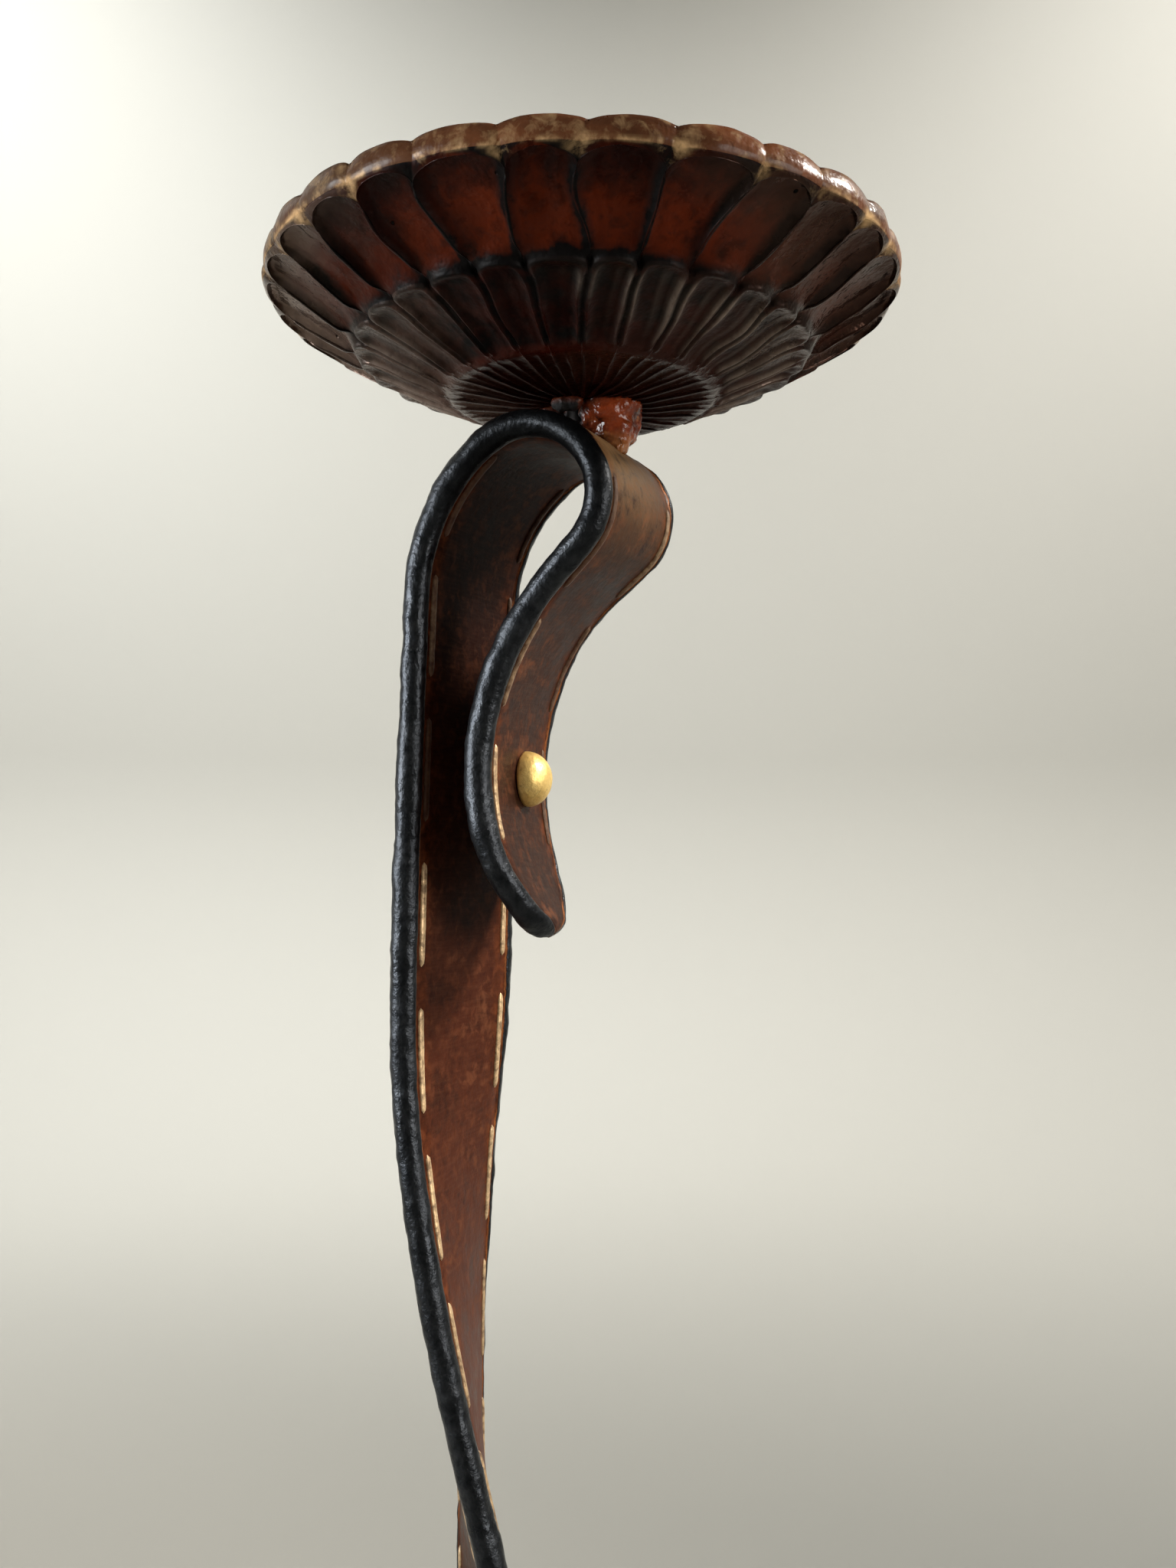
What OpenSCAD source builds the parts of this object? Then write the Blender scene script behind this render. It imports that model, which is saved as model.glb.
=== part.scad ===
// Candle holder: a fluted drip dish on a flat iron strap that is bent like a leather belt.
// The strap stands on a fluted foot, makes a quarter turn as it rises, loops over under the
// dish and hangs free in a pointed tongue with a brass stud. Gilt stitches run along its edges.
// The foot stands on z = 0, the dish is centred on the Z axis, and the loop lies in the XZ plane.

/* [Strap] */
// Width of the strap
strap_w = 36; // [30:0.5:42]
// Thickness of the strap over its rolled edges
edge_t = 5.5; // [4.8:0.1:6.5]
// Depth of each face below the rolled edges
face_sink = 0.4; // [0.1:0.05:0.8]
// Width of the slope from a rolled edge down to the face
edge_slope = 1.1; // [0.6:0.1:1.2]
// Length of the pointed tongue at each end
tongue_len = 24; // [18:1:28]
// Power of the tongue's outline, 2 is an ellipse and less is more pointed
tongue_power = 1.8; // [1.4:0.1:2.4]

/* [Strap route] */
// Length of the strap that lies on the foot, from its tip to the heel bend
heel_len = 36; // [32:1:42]
// Middle radius of the heel bend
heel_r = 9; // [7:0.5:14]
// Upright run above the heel bend
rise_len = 8; // [4:1:20]
// Middle radius of the bend into the stem's lean
lean_r = 120; // [60:5:200]
// Lean of the lower stem, in degrees
lean_turn = 8.2; // [6:0.1:10]
// Straight run of the leaning stem
lean_len = 142.5; // [110:0.1:180]
// Middle radius of the stem's slow bend back to upright
stem_r = 420; // [340:4:480]
// Angle that the upper stem stands past upright, in degrees
stem_over = 1.6; // [0:0.1:4]
// Straight run of the upper stem
stem_len = 88.7; // [70:0.1:120]
// Middle radius of the loop's shoulder
shoulder_r = 33.5; // [28:0.5:38]
// Turn of the loop's shoulder, in degrees
shoulder_turn = 53; // [46:0.5:60]
// Middle radius of the loop's crown
crown_r = 14.6; // [13:0.1:18]
// Turn of the loop's crown, in degrees
crown_turn = 108.5; // [102:0.5:114]
// Middle radius of the loop's front, where it folds back
front_r = 11; // [8:0.1:12]
// Turn of the loop's front, in degrees
front_turn = 66.5; // [60:0.5:74]
// Straight run down from the loop's front
neck_len = 8; // [4:0.1:12]
// Middle radius of the neck, which bends the other way
neck_r = 47.5; // [38:0.5:50]
// Turn of the neck, in degrees
neck_turn = 56; // [50:0.5:62]
// Middle radius of the tail's outward curl
flare_r = 54; // [46:0.5:80]
// Turn of the tail's outward curl, in degrees
flare_turn = 29.5; // [24:0.5:34]
// Distance of the loop's crest behind the dish's middle
crest_back = 4.2; // [0:0.1:8]

/* [Strap turns] */
// Height of plain stem between the heel bend and the quarter turn
turn_from = 25; // [10:1:60]
// Length over which the stem makes its quarter turn
turn_len = 233; // [180:1:250]
// Share of that length in which the turn eases in, and again in which it eases out
turn_ease = 0.16; // [0.05:0.01:0.4]
// How far the upper stem stands off square to the loop, in degrees
stem_askew = 4.3; // [0:0.1:6]
// How far the tail stands off square to the loop, in degrees
tail_askew = 10; // [0:0.1:12]
// Length below the crest, on the stem's side, in which the strap comes square to the loop
stem_square = 84; // [60:1:90]
// Length past the crest in which the tail turns off square again
tail_square = 60; // [40:1:75]

/* [Stitches] */
// Length of a stitch
stitch_len = 19.8; // [12:0.1:20.4]
// Gap between two stitches
stitch_gap = 7.7; // [5:0.1:12]
// Width of a stitch
stitch_w = 1.6; // [1:0.1:2.2]
// Height of a stitch over the face
stitch_h = 0.5; // [0.3:0.05:0.9]
// Distance from the strap's edge to the middle of the stitches
stitch_inset = 4.8; // [4:0.1:7]
// Distance from the crest to the first stitch on the tail's side
stitch_first = 19.8; // [16:0.1:24]
// Distance from the crest to the first stitch on the stem's side
stitch_back = 8.6; // [7:0.1:20]
// Share of the tongue that the stitches leave free
stitch_free = 0.6; // [0.5:0.05:1]

/* [Tail stud] */
// Diameter of the tail stud's head
stud_d = 11; // [9:0.5:12]
// Height of the tail stud's head
stud_h = 5.2; // [3:0.1:5.4]
// Diameter of the tail stud's shank
stud_shank_d = 3; // [2:0.1:4]
// Distance from the tail's tip to the stud
stud_up = 32.3; // [28:0.1:40]
// Distance of that stud from the tail's middle line, towards its far edge
stud_off = 3; // [0:0.5:5]

/* [Foot studs] */
// Diameter of a foot stud's head
foot_stud_d = 10; // [8:0.5:12]
// Height of a foot stud's head
foot_stud_h = 4.6; // [3:0.1:5]
// Diameter of a foot stud's shank
foot_shank_d = 5; // [4:0.5:6]
// Distance from the heel's tip to the first foot stud
foot_stud_up = 14; // [12:0.5:16]
// Distance between the two foot studs
foot_stud_pitch = 15; // [13:0.5:17]
// Across flats of a nut
nut_af = 8; // [7:0.5:10]
// Height of a nut
nut_h = 4; // [3:0.1:5]
// Diameter of a washer
washer_d = 10; // [9:0.5:12]
// Thickness of a washer
washer_t = 1; // [0.8:0.1:1.6]
// Length of shank that stands past the nut
shank_past = 1.5; // [0.5:0.1:3]

/* [Drip dish] */
// Diameter over the dish's rim
dish_d = 120; // [110:1:130]
// Depth of the dish from its rim to its underside
dish_h = 23; // [22:0.1:26]
// Wall of the dish
dish_wall = 3.4; // [2.8:0.1:4]
// Number of petals round the dish
dish_petals = 28; // [22:1:34]
// Height of the dish's lip
dish_lip = 3; // [2.6:0.1:4]
// Height of the scallops along the rim
dish_scallop = 1.3; // [0.4:0.1:1.8]
// Depth of the rim's bays between the petals
dish_bay = 0.8; // [0:0.1:1]
// Radius of the step between the outer and the middle petals
dish_step_r = 44; // [41:0.5:47]
// Depth of that step below the rim
dish_step_h = 13.7; // [12.5:0.1:15]
// Radius of the step between the middle petals and the inner ring
dish_ring_r = 26; // [23:0.5:29]
// Depth of that step below the rim
dish_ring_h = 21; // [20:0.1:21.8]
// Radius of the flat in the middle of the dish's underside
dish_flat_r = 13; // [11.5:0.5:16]
// Depth of the outer petals' hollows
dish_flute = 1.7; // [0.8:0.1:2]
// Depth of the middle petals' hollows
dish_flute2 = 1.1; // [0.4:0.1:1.3]
// Turn of the petals about the dish's axis, in degrees
dish_phase = 2; // [0:0.5:12]
// Width of the rim's flat top
dish_rim_w = 3; // [2:0.1:4]
// Height of the rounding inside the rim
dish_rim_h = 1.6; // [1:0.1:2.4]
// Width of the slope round the bowl's flat middle
bowl_heel = 4; // [2:0.5:6]
// Height of the swells in the bowl over the petals
bowl_swell = 0.6; // [0:0.1:0.8]

/* [Petals] */
// Length of the rounded head of a middle petal
petal_head = 2.6; // [1:0.1:3.4]
// Height of the round arch that ends an outer petal
petal_arch = 3.4; // [2:0.1:6]
// How far the middle petals' heads stand over the outer petals
step_proud = 0.9; // [0.2:0.1:1.2]
// Distance of the outer petals' ends inside the lip
lip_inset = 1; // [0.4:0.1:1.4]
// Width of the rounding over the lip
lip_round = 0.8; // [0.4:0.1:1]
// Rise of the outer petals' lower ends out of the step
toe_rise = 1.2; // [0.6:0.1:1.6]
// Length of the outer petals' lower ends
toe_len = 1.6; // [1:0.1:2.4]
// Bevel round an inner ring, along and across
ring_bevel = 1; // [0.6:0.1:1.2]

/* [Pricket] */
// Height of the spike over its collar
spike_h = 30; // [20:1:38]
// Diameter of the spike at its root
spike_d = 7; // [5:0.5:9]
// Diameter of the spike's blunted tip
spike_tip_d = 1.2; // [0.8:0.1:2]
// Diameter of the pricket's collar
collar_d = 22; // [16:1:26]
// Thickness of the pricket's collar
collar_t = 2; // [1.2:0.1:3]
// Diameter of the pricket's shank
pricket_shank_d = 6; // [4:0.5:8]
// Length of the pricket's shank below the dish
pricket_grip = 3.2; // [2:0.1:3.4]

/* [Joint] */
// Height of the brazed joint between the strap's crest and the dish
joint_h = 4.2; // [3.8:0.1:6]
// Diameter of the joint's collar
joint_d = 19; // [15:0.5:22]
// Share of that diameter which the joint keeps down at the crown's middle
joint_taper = 0.6; // [0.5:0.05:0.9]
// Radius of the joint's drip towards the front of the loop
drip_r = 5.6; // [5:0.1:7]
// Distance of that drip from the dish's middle
drip_out = 4.6; // [3:0.1:6]
// Distance of that drip to the far side of the loop's plane
drip_side = 3; // [0:0.1:5]

/* [Foot] */
// Diameter of the foot
foot_d = 150; // [140:1:180]
// Height of the foot casting
foot_h = 22; // [20:0.5:28]
// Wall of the foot
foot_wall = 4.5; // [3.5:0.1:6]
// Number of petals round the foot
foot_petals = 28; // [22:1:34]
// Width of the bevel round the foot's seat
seat_bevel = 1.5; // [1:0.1:3]
// Height of the foot's lip
foot_lip = 3.4; // [2.6:0.1:4.5]
// Radius of the step between the foot's outer and inner petals
foot_step_r = 60; // [57:0.5:62]
// Height of that step over the foot's underside
foot_step_h = 13; // [11:0.1:14]
// Radius of the foot's seat, which the heel lies on
foot_seat_r = 47; // [46:0.5:50]
// Depth of the foot's petals
foot_flute = 1.8; // [0.8:0.1:2.2]
// Width of the foot's bearing ring
foot_ring_w = 6; // [4:0.5:9]
// Thickness of the felt pad
felt_t = 2; // [1:0.1:4]
// Distance of the felt's edge inside the foot's edge
felt_in = 1.5; // [0.5:0.1:4]

/* [Fits] */
// Clearance round a shank in its bore
bore_gap = 0.1; // [0.05:0.01:0.3]
// Clearance between faces that bear on each other
seat_gap = 0.05; // [0:0.01:0.1]

/* [Hidden] */
$fn = 64;
lacquer = [0.36, 0.18, 0.13];
foot_lacquer = [0.33, 0.17, 0.12];
strap_brown = [0.45, 0.28, 0.21];
gilt = [0.82, 0.66, 0.36];
brass = [0.72, 0.58, 0.28];
steel = [0.62, 0.62, 0.6];
braze = [0.62, 0.33, 0.2];
felt_green = [0.17, 0.28, 0.2];
web_t = edge_t - 2*face_sink;
quarter = 90;
// Largest bend, in degrees, and longest run between two sections of the strap
section_turn = 10;
section_run = 12;
// Most of a bend that one length of a stitch spans, in degrees
stitch_turn = 14;
// Samples across one petal
dish_samples = 5;
foot_samples = 4;
// Space that a cut reaches past the piece it cuts
past = 1;
// Draft of a casting's lip
lip_draft = 0.2;
// Share of the way in at which the bowl's inside sags most
bowl_bias = 0.55;
// Height of the cone at the spike's root
spike_root = 1;

// The strap's route above the heel bend, as [length, turn] of each stretch
function bend(r, a) = [r*abs(a)*PI/180, a];
route = [[rise_len, 0], bend(lean_r, lean_turn), [lean_len, 0],
         bend(stem_r, -lean_turn - stem_over), [stem_len, 0],
         bend(shoulder_r, -shoulder_turn), bend(crown_r, -crown_turn), bend(front_r, -front_turn),
         [neck_len, 0], bend(neck_r, neck_turn), bend(flare_r, flare_turn)];
// Places along it: x, z and heading after a run of length l that turns by a
function run(p, l, a) = a == 0
    ? [p.x + l*cos(p.z), p.y + l*sin(p.z), p.z]
    : let (r = l/(a*PI/180), h = p.z + a)
        [p.x + r*(sin(h) - sin(p.z)), p.y - r*(cos(h) - cos(p.z)), h];
function joints_of(p, k = 0) = k == len(route) ? [p]
    : concat([p], joints_of(run(p, route[k][0], route[k][1]), k + 1));
function lengths_of(l = 0, k = 0) = k == len(route) ? [l]
    : concat([l], lengths_of(l + route[k][0], k + 1));
joints = joints_of([0, 0, quarter]);
lengths = lengths_of();
route_len = lengths[len(route)];
function stretch_of(l, k = 0) = k == len(route) - 1 || l < lengths[k + 1] ? k : stretch_of(l, k + 1);
function place(l) = let (k = stretch_of(l), d = l - lengths[k], whole = route[k][0])
    run(joints[k], d, route[k][1]*d/whole);
crown_k = 6;
crest_l = lengths[crown_k] + crown_r*joints[crown_k].z*PI/180;
crest = place(crest_l);

// Heights that follow from the pieces
seat_z = felt_t + foot_h;
heel_z = seat_z + edge_t/2 + seat_gap;
route_z = heel_z + heel_r;
route_x = -crest_back - crest.x;
crest_z = route_z + crest.y;
crown_z = crest_z - crown_r;
dish_bottom = crest_z + web_t/2 + joint_h;
rim_z = dish_bottom + dish_h;
floor_z = dish_bottom + dish_wall;

// Turn of the strap about its own length
function ramp(t) = let (r = turn_ease, u = min(1, max(0, t)))
    u < r ? u*u/(2*r*(1 - r)) : u > 1 - r ? 1 - (1 - u)*(1 - u)/(2*r*(1 - r)) : (u - r/2)/(1 - r);
function mixed(a, b, t) = a + (b - a)*t;
function smooth(t) = let (u = min(1, max(0, t))) u*u*(3 - 2*u);
function turn_at(l) = l < crest_l
    ? quarter - (quarter + stem_askew)*ramp((l - turn_from)/turn_len)
      + stem_askew*smooth((l - crest_l + stem_square)/stem_square)
    : -tail_askew*smooth((l - crest_l)/tail_square);

// A section's frame: middle, width direction, inner normal. Below 0 the length runs into the heel.
heel_arc = heel_r*quarter*PI/180;
heel_end = -heel_arc - heel_len;
function frame_up(l) = let (p = place(l), a = turn_at(l), n0 = [sin(p.z), 0, -cos(p.z)])
    [[route_x + p.x, 0, route_z + p.y], [0, cos(a), 0] - sin(a)*n0, cos(a)*n0 + [0, sin(a), 0]];
function frame_heel(l) = let (b = max(0, quarter + l/heel_r*180/PI), flat = max(0, -heel_arc - l))
    [[route_x, -heel_r*(1 - sin(b)) - flat, heel_z + heel_r*(1 - cos(b))],
     [-1, 0, 0], [0, sin(b), -cos(b)]];
function frame(l) = l < 0 ? frame_heel(l) : frame_up(l);

// Half width of the strap at length l, drawn in along the elliptic tongue at each end
function tongue(rest) = rest >= tongue_len ? 1
    : pow(1 - pow(1 - max(0, rest)/tongue_len, tongue_power), 0.5);
function half_w(l) = max(edge_t/2*1.05, strap_w/2*tongue(min(l - heel_end, route_len - l)));

// One section: rolled edges joined by a thinner web, in width and thickness coordinates
function section(l) = let (w = half_w(l), r = edge_t/2, m = w - r,
        s = min(edge_slope, m*0.9), f = web_t/2)
    concat([for (a = [-90:36:90]) [m + r*cos(a), r*sin(a)]],
           [[m - s, f], [-m + s, f]],
           [for (a = [90:36:270]) [-m + r*cos(a), r*sin(a)]],
           [[-m + s, -f], [m - s, -f]]);
function laid(f, q) = f[0] + q.x*f[1] + q.y*f[2];

// Lengths at which the strap has a section
function inner_cuts(a, b, n) = [for (i = [0:n - 1]) a + (b - a)*i/n];
tongue_cuts = [0, 0.03, 0.1, 0.22, 0.4, 0.65];
heel_cuts = concat([for (t = tongue_cuts) heel_end + t*tongue_len],
    [heel_end + tongue_len], inner_cuts(-heel_arc, 0, ceil(quarter/section_turn)));
function cuts_in(a, b, turn) = inner_cuts(a, b, max(1, ceil(turn/section_turn), ceil((b - a)/section_run)));
route_cuts = [for (k = [0:len(route) - 1])
    let (a = lengths[k], b = min(lengths[k + 1], route_len - tongue_len))
    if (b > a) each cuts_in(a, b, abs(route[k][1]))];
tip_cuts = [for (i = [len(tongue_cuts):-1:0]) i == len(tongue_cuts) ? route_len - tongue_len
    : route_len - tongue_cuts[i]*tongue_len];
cuts = concat(heel_cuts, route_cuts, tip_cuts);

// Skin of rings with the same number of points, closed at both ends
function skin_faces(rings, n) = concat(
    [for (i = [0:rings - 2], j = [0:n - 1]) let (a = i*n + j, b = i*n + (j + 1)%n)
        each [[a, b, b + n], [a, b + n, a + n]]],
    [for (j = [1:n - 2]) [0, j + 1, j]],
    [for (j = [1:n - 2]) let (k = (rings - 1)*n) [k, k + j, k + j + 1]]);

module loft(rings) {
    n = len(rings[0]);
    polyhedron([for (r = rings) each r], skin_faces(len(rings), n), convexity = 10);
}

// Carries its children to the strap at length l, with Z along the face's outward normal.
// Side 1 is the inner face and side -1 the outer one.
module on_strap(l, side) {
    f = frame(l);
    u = f[1];
    n = side*f[2];
    t = cross(n, u);
    multmatrix([[u.x, t.x, n.x, f[0].x], [u.y, t.y, n.y, f[0].y], [u.z, t.z, n.z, f[0].z]])
        children();
}

// A domed head of a stud, flat side on z = 0
module dome(d, h) {
    ball = (d*d/4 + h*h)/(2*h);
    intersection() {
        translate([0, 0, h - ball]) sphere(ball);
        cylinder(d = d*1.5, h = h*1.5);
    }
}

tail_stud_l = route_len - stud_up;
foot_stud_ls = [heel_end + foot_stud_up, heel_end + foot_stud_up + foot_stud_pitch];

module strap() {
    color(strap_brown)
        difference() {
            loft([for (l = cuts) let (f = frame(l)) [for (q = section(l)) laid(f, q)]]);
            on_strap(tail_stud_l, -1)
                translate([stud_off, 0, 0])
                    cylinder(d = stud_shank_d + 2*bore_gap, h = 3*edge_t, center = true);
            for (l = foot_stud_ls)
                on_strap(l, -1) cylinder(d = foot_shank_d + 2*bore_gap, h = 3*edge_t, center = true);
        }
}

// One stitch on a face, from length a to length b, row 1 or -1 across the strap
module stitch(a, b, side, row) {
    bends = [for (k = [0:len(route) - 1]) let (c = max(a, lengths[k]), d = min(b, lengths[k + 1]))
        d > c ? abs(route[k][1])*(d - c)/route[k][0] : 0];
    heel_bend = max(0, min(b, 0) - max(a, -heel_arc))/heel_arc*quarter;
    total = heel_bend + bends*[for (k = bends) 1];
    n = max(1, ceil(total/stitch_turn));
    low = side*(web_t/2 + seat_gap);
    high = side*(web_t/2 + stitch_h);
    w = side*stitch_w/2;
    crown = 0.6;
    loft([for (i = [0:n]) let (l = mixed(a, b, i/n), f = frame(l), m = row*(half_w(l) - stitch_inset))
        [for (q = [[m - w, low], [m + w, low], [m + w*crown, high], [m - w*crown, high]]) laid(f, q)]]);
}

pitch = stitch_len + stitch_gap;
// Lengths at which stitches start, on the tail side and on the stem side of the crest
function stitch_starts(low, high) = concat(
    [for (a = crest_l + stitch_first; a + stitch_len < high; a = a + pitch) a],
    [for (a = crest_l - stitch_back - stitch_len; a > low; a = a - pitch) a]);
stitch_low = heel_end + stitch_free*tongue_len;
stitch_high = route_len - stitch_free*tongue_len;

module outer_stitches() {
    color(gilt)
        for (a = stitch_starts(stitch_low, stitch_high), row = [-1, 1])
            stitch(a, a + stitch_len, -1, row);
}

module inner_stitches() {
    color(gilt)
        for (a = stitch_starts(0, stitch_high), row = [-1, 1])
            stitch(a, a + stitch_len, 1, row);
}

// The head bears on the tail's hollow curl at two ends, so it stands up by the curl's rise under it
stud_seat = seat_gap + stud_d*stud_d/(8*flare_r);

module tail_stud() {
    color(brass) {
        on_strap(tail_stud_l, -1)
            translate([stud_off, 0, web_t/2 + stud_seat]) dome(stud_d, stud_h);
        on_strap(tail_stud_l, -1)
            translate([stud_off, 0, -web_t/2 - seat_gap])
                cylinder(d = stud_shank_d, h = web_t + seat_gap + stud_seat);
        on_strap(tail_stud_l, 1)
            translate([stud_off, 0, web_t/2 + seat_gap]) dome(stud_d*0.55, stud_h*0.22);
    }
}

washer_top = seat_z - foot_wall - seat_gap;
nut_top = washer_top - washer_t - seat_gap;
shank_low = nut_top - nut_h - shank_past;

module at_foot_studs() {
    for (l = foot_stud_ls) {
        p = frame(l)[0];
        translate([p.x, p.y, 0]) children();
    }
}

module foot_studs() {
    head_z = heel_z + web_t/2 + seat_gap;
    color(brass)
        at_foot_studs() {
            translate([0, 0, head_z]) dome(foot_stud_d, foot_stud_h);
            translate([0, 0, shank_low]) cylinder(d = foot_shank_d, h = head_z - shank_low);
        }
}

module foot_washers() {
    color(steel)
        at_foot_studs()
            translate([0, 0, washer_top - washer_t])
                difference() {
                    cylinder(d = washer_d, h = washer_t);
                    translate([0, 0, -past]) cylinder(d = foot_shank_d + 4*bore_gap, h = washer_t + 2*past);
                }
}

module foot_nuts() {
    color(steel)
        at_foot_studs()
            translate([0, 0, nut_top - nut_h])
                difference() {
                    cylinder(d = nut_af/cos(30), h = nut_h, $fn = 6);
                    translate([0, 0, -past]) cylinder(d = foot_shank_d + 2*bore_gap, h = nut_h + 2*past);
                }
}

// Petalled castings. A profile runs from the middle of the show side out to the rim, as radius
// and depth behind the rim's plane. x runs across a petal, -1 and 1 on its ridges.
function hollow(x) = sqrt(max(0, 1 - x*x));
// The casting c is [rim radius, lip, scallop, step radius, step depth, ring radius, ring depth,
// flat radius, depth, outer hollows, inner hollows, bays]
function show_side(c, x) = let (e = hollow(x), R = c[0], lip = c[1], step = [c[3], c[4]],
        ring = [c[5], c[6]], head = petal_head*(1 - e), arch = petal_arch*(1 - e), rim = R - c[11]*(1 - e),
        top = [R - lip_inset, lip + lip_inset], foot = step - [0, step_proud],
        span = norm(top - foot), near = mixed(top, foot, (arch + lip_inset)/span),
        mid = mixed(top, foot, 0.5), line = mixed(step, ring, 0.12 + head/norm(step - ring)))
    [[c[7], c[8]],
     ring + ring_bevel*[-1, 0.5],
     ring + ring_bevel*[0.4, -0.4*e],
     mixed(ring, step, 0.14) - [0, c[10]*e*0.8],
     mixed(ring, step, 0.5) - [0, c[10]*e],
     line + [-toe_rise, -c[10]*e*0.8],
     step + [-head - ring_bevel*0.6, ring_bevel*0.1],
     step + [-head, -step_proud],
     foot + [toe_len, -toe_rise - c[9]*e*0.7],
     mid - [0, c[9]*e*1.2],
     near - [0, c[9]*e],
     mixed(top, foot, arch/span),
     [rim - lip_draft, lip],
     [rim, lip*0.4],
     [rim - lip_round, -c[2]*e]];

// Rings of points about the axis, closed by a pole at each end
function turned_faces(rings, n) = let (last = rings*n + 1) concat(
    [for (j = [0:n - 1]) [0, 1 + j, 1 + (j + 1)%n]],
    [for (i = [0:rings - 2], j = [0:n - 1]) let (a = 1 + i*n + j, b = 1 + i*n + (j + 1)%n)
        each [[a, b + n, b], [a, a + n, b + n]]],
    [for (j = [0:n - 1]) [last, last - n + (j + 1)%n, last - n + j]]);

module petalled(petals, samples, profiles, pole_low, pole_high, phase = 0) {
    n = petals*samples;
    rings = len(profiles[0]);
    points = [for (i = [0:rings - 1], j = [0:n - 1]) let (q = profiles[j%samples][i], a = phase + 360*j/n)
        [q.x*cos(a), q.x*sin(a), -q.y]];
    polyhedron(concat([[0, 0, -pole_low]], points, [[0, 0, -pole_high]]), turned_faces(rings, n),
        convexity = 10);
}

dish = [dish_d/2, dish_lip, dish_scallop, dish_step_r, dish_step_h, dish_ring_r, dish_ring_h,
        dish_flat_r, dish_h, dish_flute, dish_flute2, dish_bay];

// The bowl's inside follows the petals in low swells, a wall away from the underside
function bowl_side(x) = let (e = hollow(x), R = dish_d/2)
    [[R - dish_rim_w, -dish_scallop*e*0.9],
     [R - dish_rim_w - lip_inset, dish_rim_h],
     [mixed(R - dish_rim_w, dish_step_r, 0.5),
      mixed(dish_rim_h, dish_step_h - dish_wall, bowl_bias) - bowl_swell*e],
     [dish_step_r - lip_inset, dish_step_h - dish_wall - bowl_swell*e],
     [dish_ring_r, dish_ring_h - dish_wall],
     [dish_flat_r + bowl_heel, dish_h - dish_wall]];

module drip_dish() {
    color(lacquer)
        translate([0, 0, rim_z])
            difference() {
                petalled(dish_petals, dish_samples,
                    [for (i = [0:dish_samples - 1]) let (x = 2*i/dish_samples - 1)
                        concat(show_side(dish, x), bowl_side(x))],
                    dish_h, dish_h - dish_wall, dish_phase);
                translate([0, 0, -dish_h - past]) cylinder(d = pricket_shank_d + 2*bore_gap, h = dish_h);
            }
}

module pricket() {
    color(steel)
        translate([0, 0, floor_z + seat_gap])
            rotate_extrude()
                polygon([[0, -dish_wall - pricket_grip], [pricket_shank_d/2, -dish_wall - pricket_grip],
                    [pricket_shank_d/2, 0], [collar_d/2, 0], [collar_d/2, collar_t*0.6],
                    [collar_d/2 - collar_t*0.8, collar_t], [spike_d/2 + 0.6, collar_t],
                    [spike_d/2, collar_t + spike_root], [spike_tip_d/2, collar_t + spike_h - spike_tip_d/3],
                    [spike_tip_d/4, collar_t + spike_h], [0, collar_t + spike_h]]);
}

// The joint fills the wedge between the crown and the dish, with a drip down the loop's front
module brazed_joint() {
    top = dish_bottom - seat_gap;
    color(braze)
        difference() {
            union() {
                translate([0, 0, crown_z]) cylinder(d1 = joint_d*joint_taper, d2 = joint_d, h = top - crown_z);
                translate([drip_out, drip_side, top - drip_r*0.8]) sphere(drip_r);
                translate([drip_out*0.9, -drip_side, top - drip_r*0.6]) sphere(drip_r*0.8);
            }
            translate([-crest_back, 0, crown_z]) rotate([90, 0, 0])
                cylinder(r = crown_r + web_t/2 + seat_gap, h = 2*strap_w, center = true);
            translate([0, 0, crown_z - drip_r]) cylinder(d = 4*joint_d, h = drip_r);
            translate([0, 0, top]) cylinder(d = 4*joint_d, h = 2*drip_r);
            translate([0, 0, top - pricket_grip - past/2])
                cylinder(d = pricket_shank_d + 2*bore_gap, h = 2*drip_r);
        }
}

foot_casting = [foot_d/2, foot_lip, 0, foot_step_r, foot_step_h, foot_seat_r + seat_bevel,
        foot_h - ring_bevel, foot_seat_r, foot_h, foot_flute, foot_flute*0.7, 0];

module foot() {
    ceiling = foot_h - foot_wall;
    color(foot_lacquer)
        difference() {
            translate([0, 0, felt_t]) mirror([0, 0, 1])
                petalled(foot_petals, foot_samples,
                    [for (i = [0:foot_samples - 1]) show_side(foot_casting, 2*i/foot_samples - 1)],
                    foot_h, 0);
            translate([0, 0, felt_t])
                rotate_extrude()
                    polygon([[0, -past], [foot_d/2 - foot_ring_w, -past], [foot_d/2 - foot_ring_w, 0],
                        [foot_step_r - foot_wall, foot_step_h - foot_wall],
                        [foot_seat_r - foot_wall/2, ceiling], [0, ceiling]]);
            at_foot_studs() cylinder(d = foot_shank_d + 2*bore_gap, h = 2*seat_z);
        }
}

module felt_pad() {
    color(felt_green) cylinder(d = foot_d - 2*felt_in, h = felt_t - seat_gap);
}

drip_dish();
pricket();
brazed_joint();
strap();
outer_stitches();
inner_stitches();
tail_stud();
foot_studs();
foot();
foot_washers();
foot_nuts();
felt_pad();
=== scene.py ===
# %% [markdown]
# # A candle holder made like a leather belt
# A cast, fluted drip dish sits on a flat iron strap. The strap is finished as a stitched belt: it
# rises from a fluted foot, makes a quarter turn, loops over under the dish and hangs free in a
# pointed tongue with a stud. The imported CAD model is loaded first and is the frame. Every visible
# piece made here stands in the place of a CAD node, at the same size, with more of the detail that
# the hand and the casting leave. Formulas are in millimetres, and one factor turns them to metres.

# %% Load the frame
import math

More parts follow.
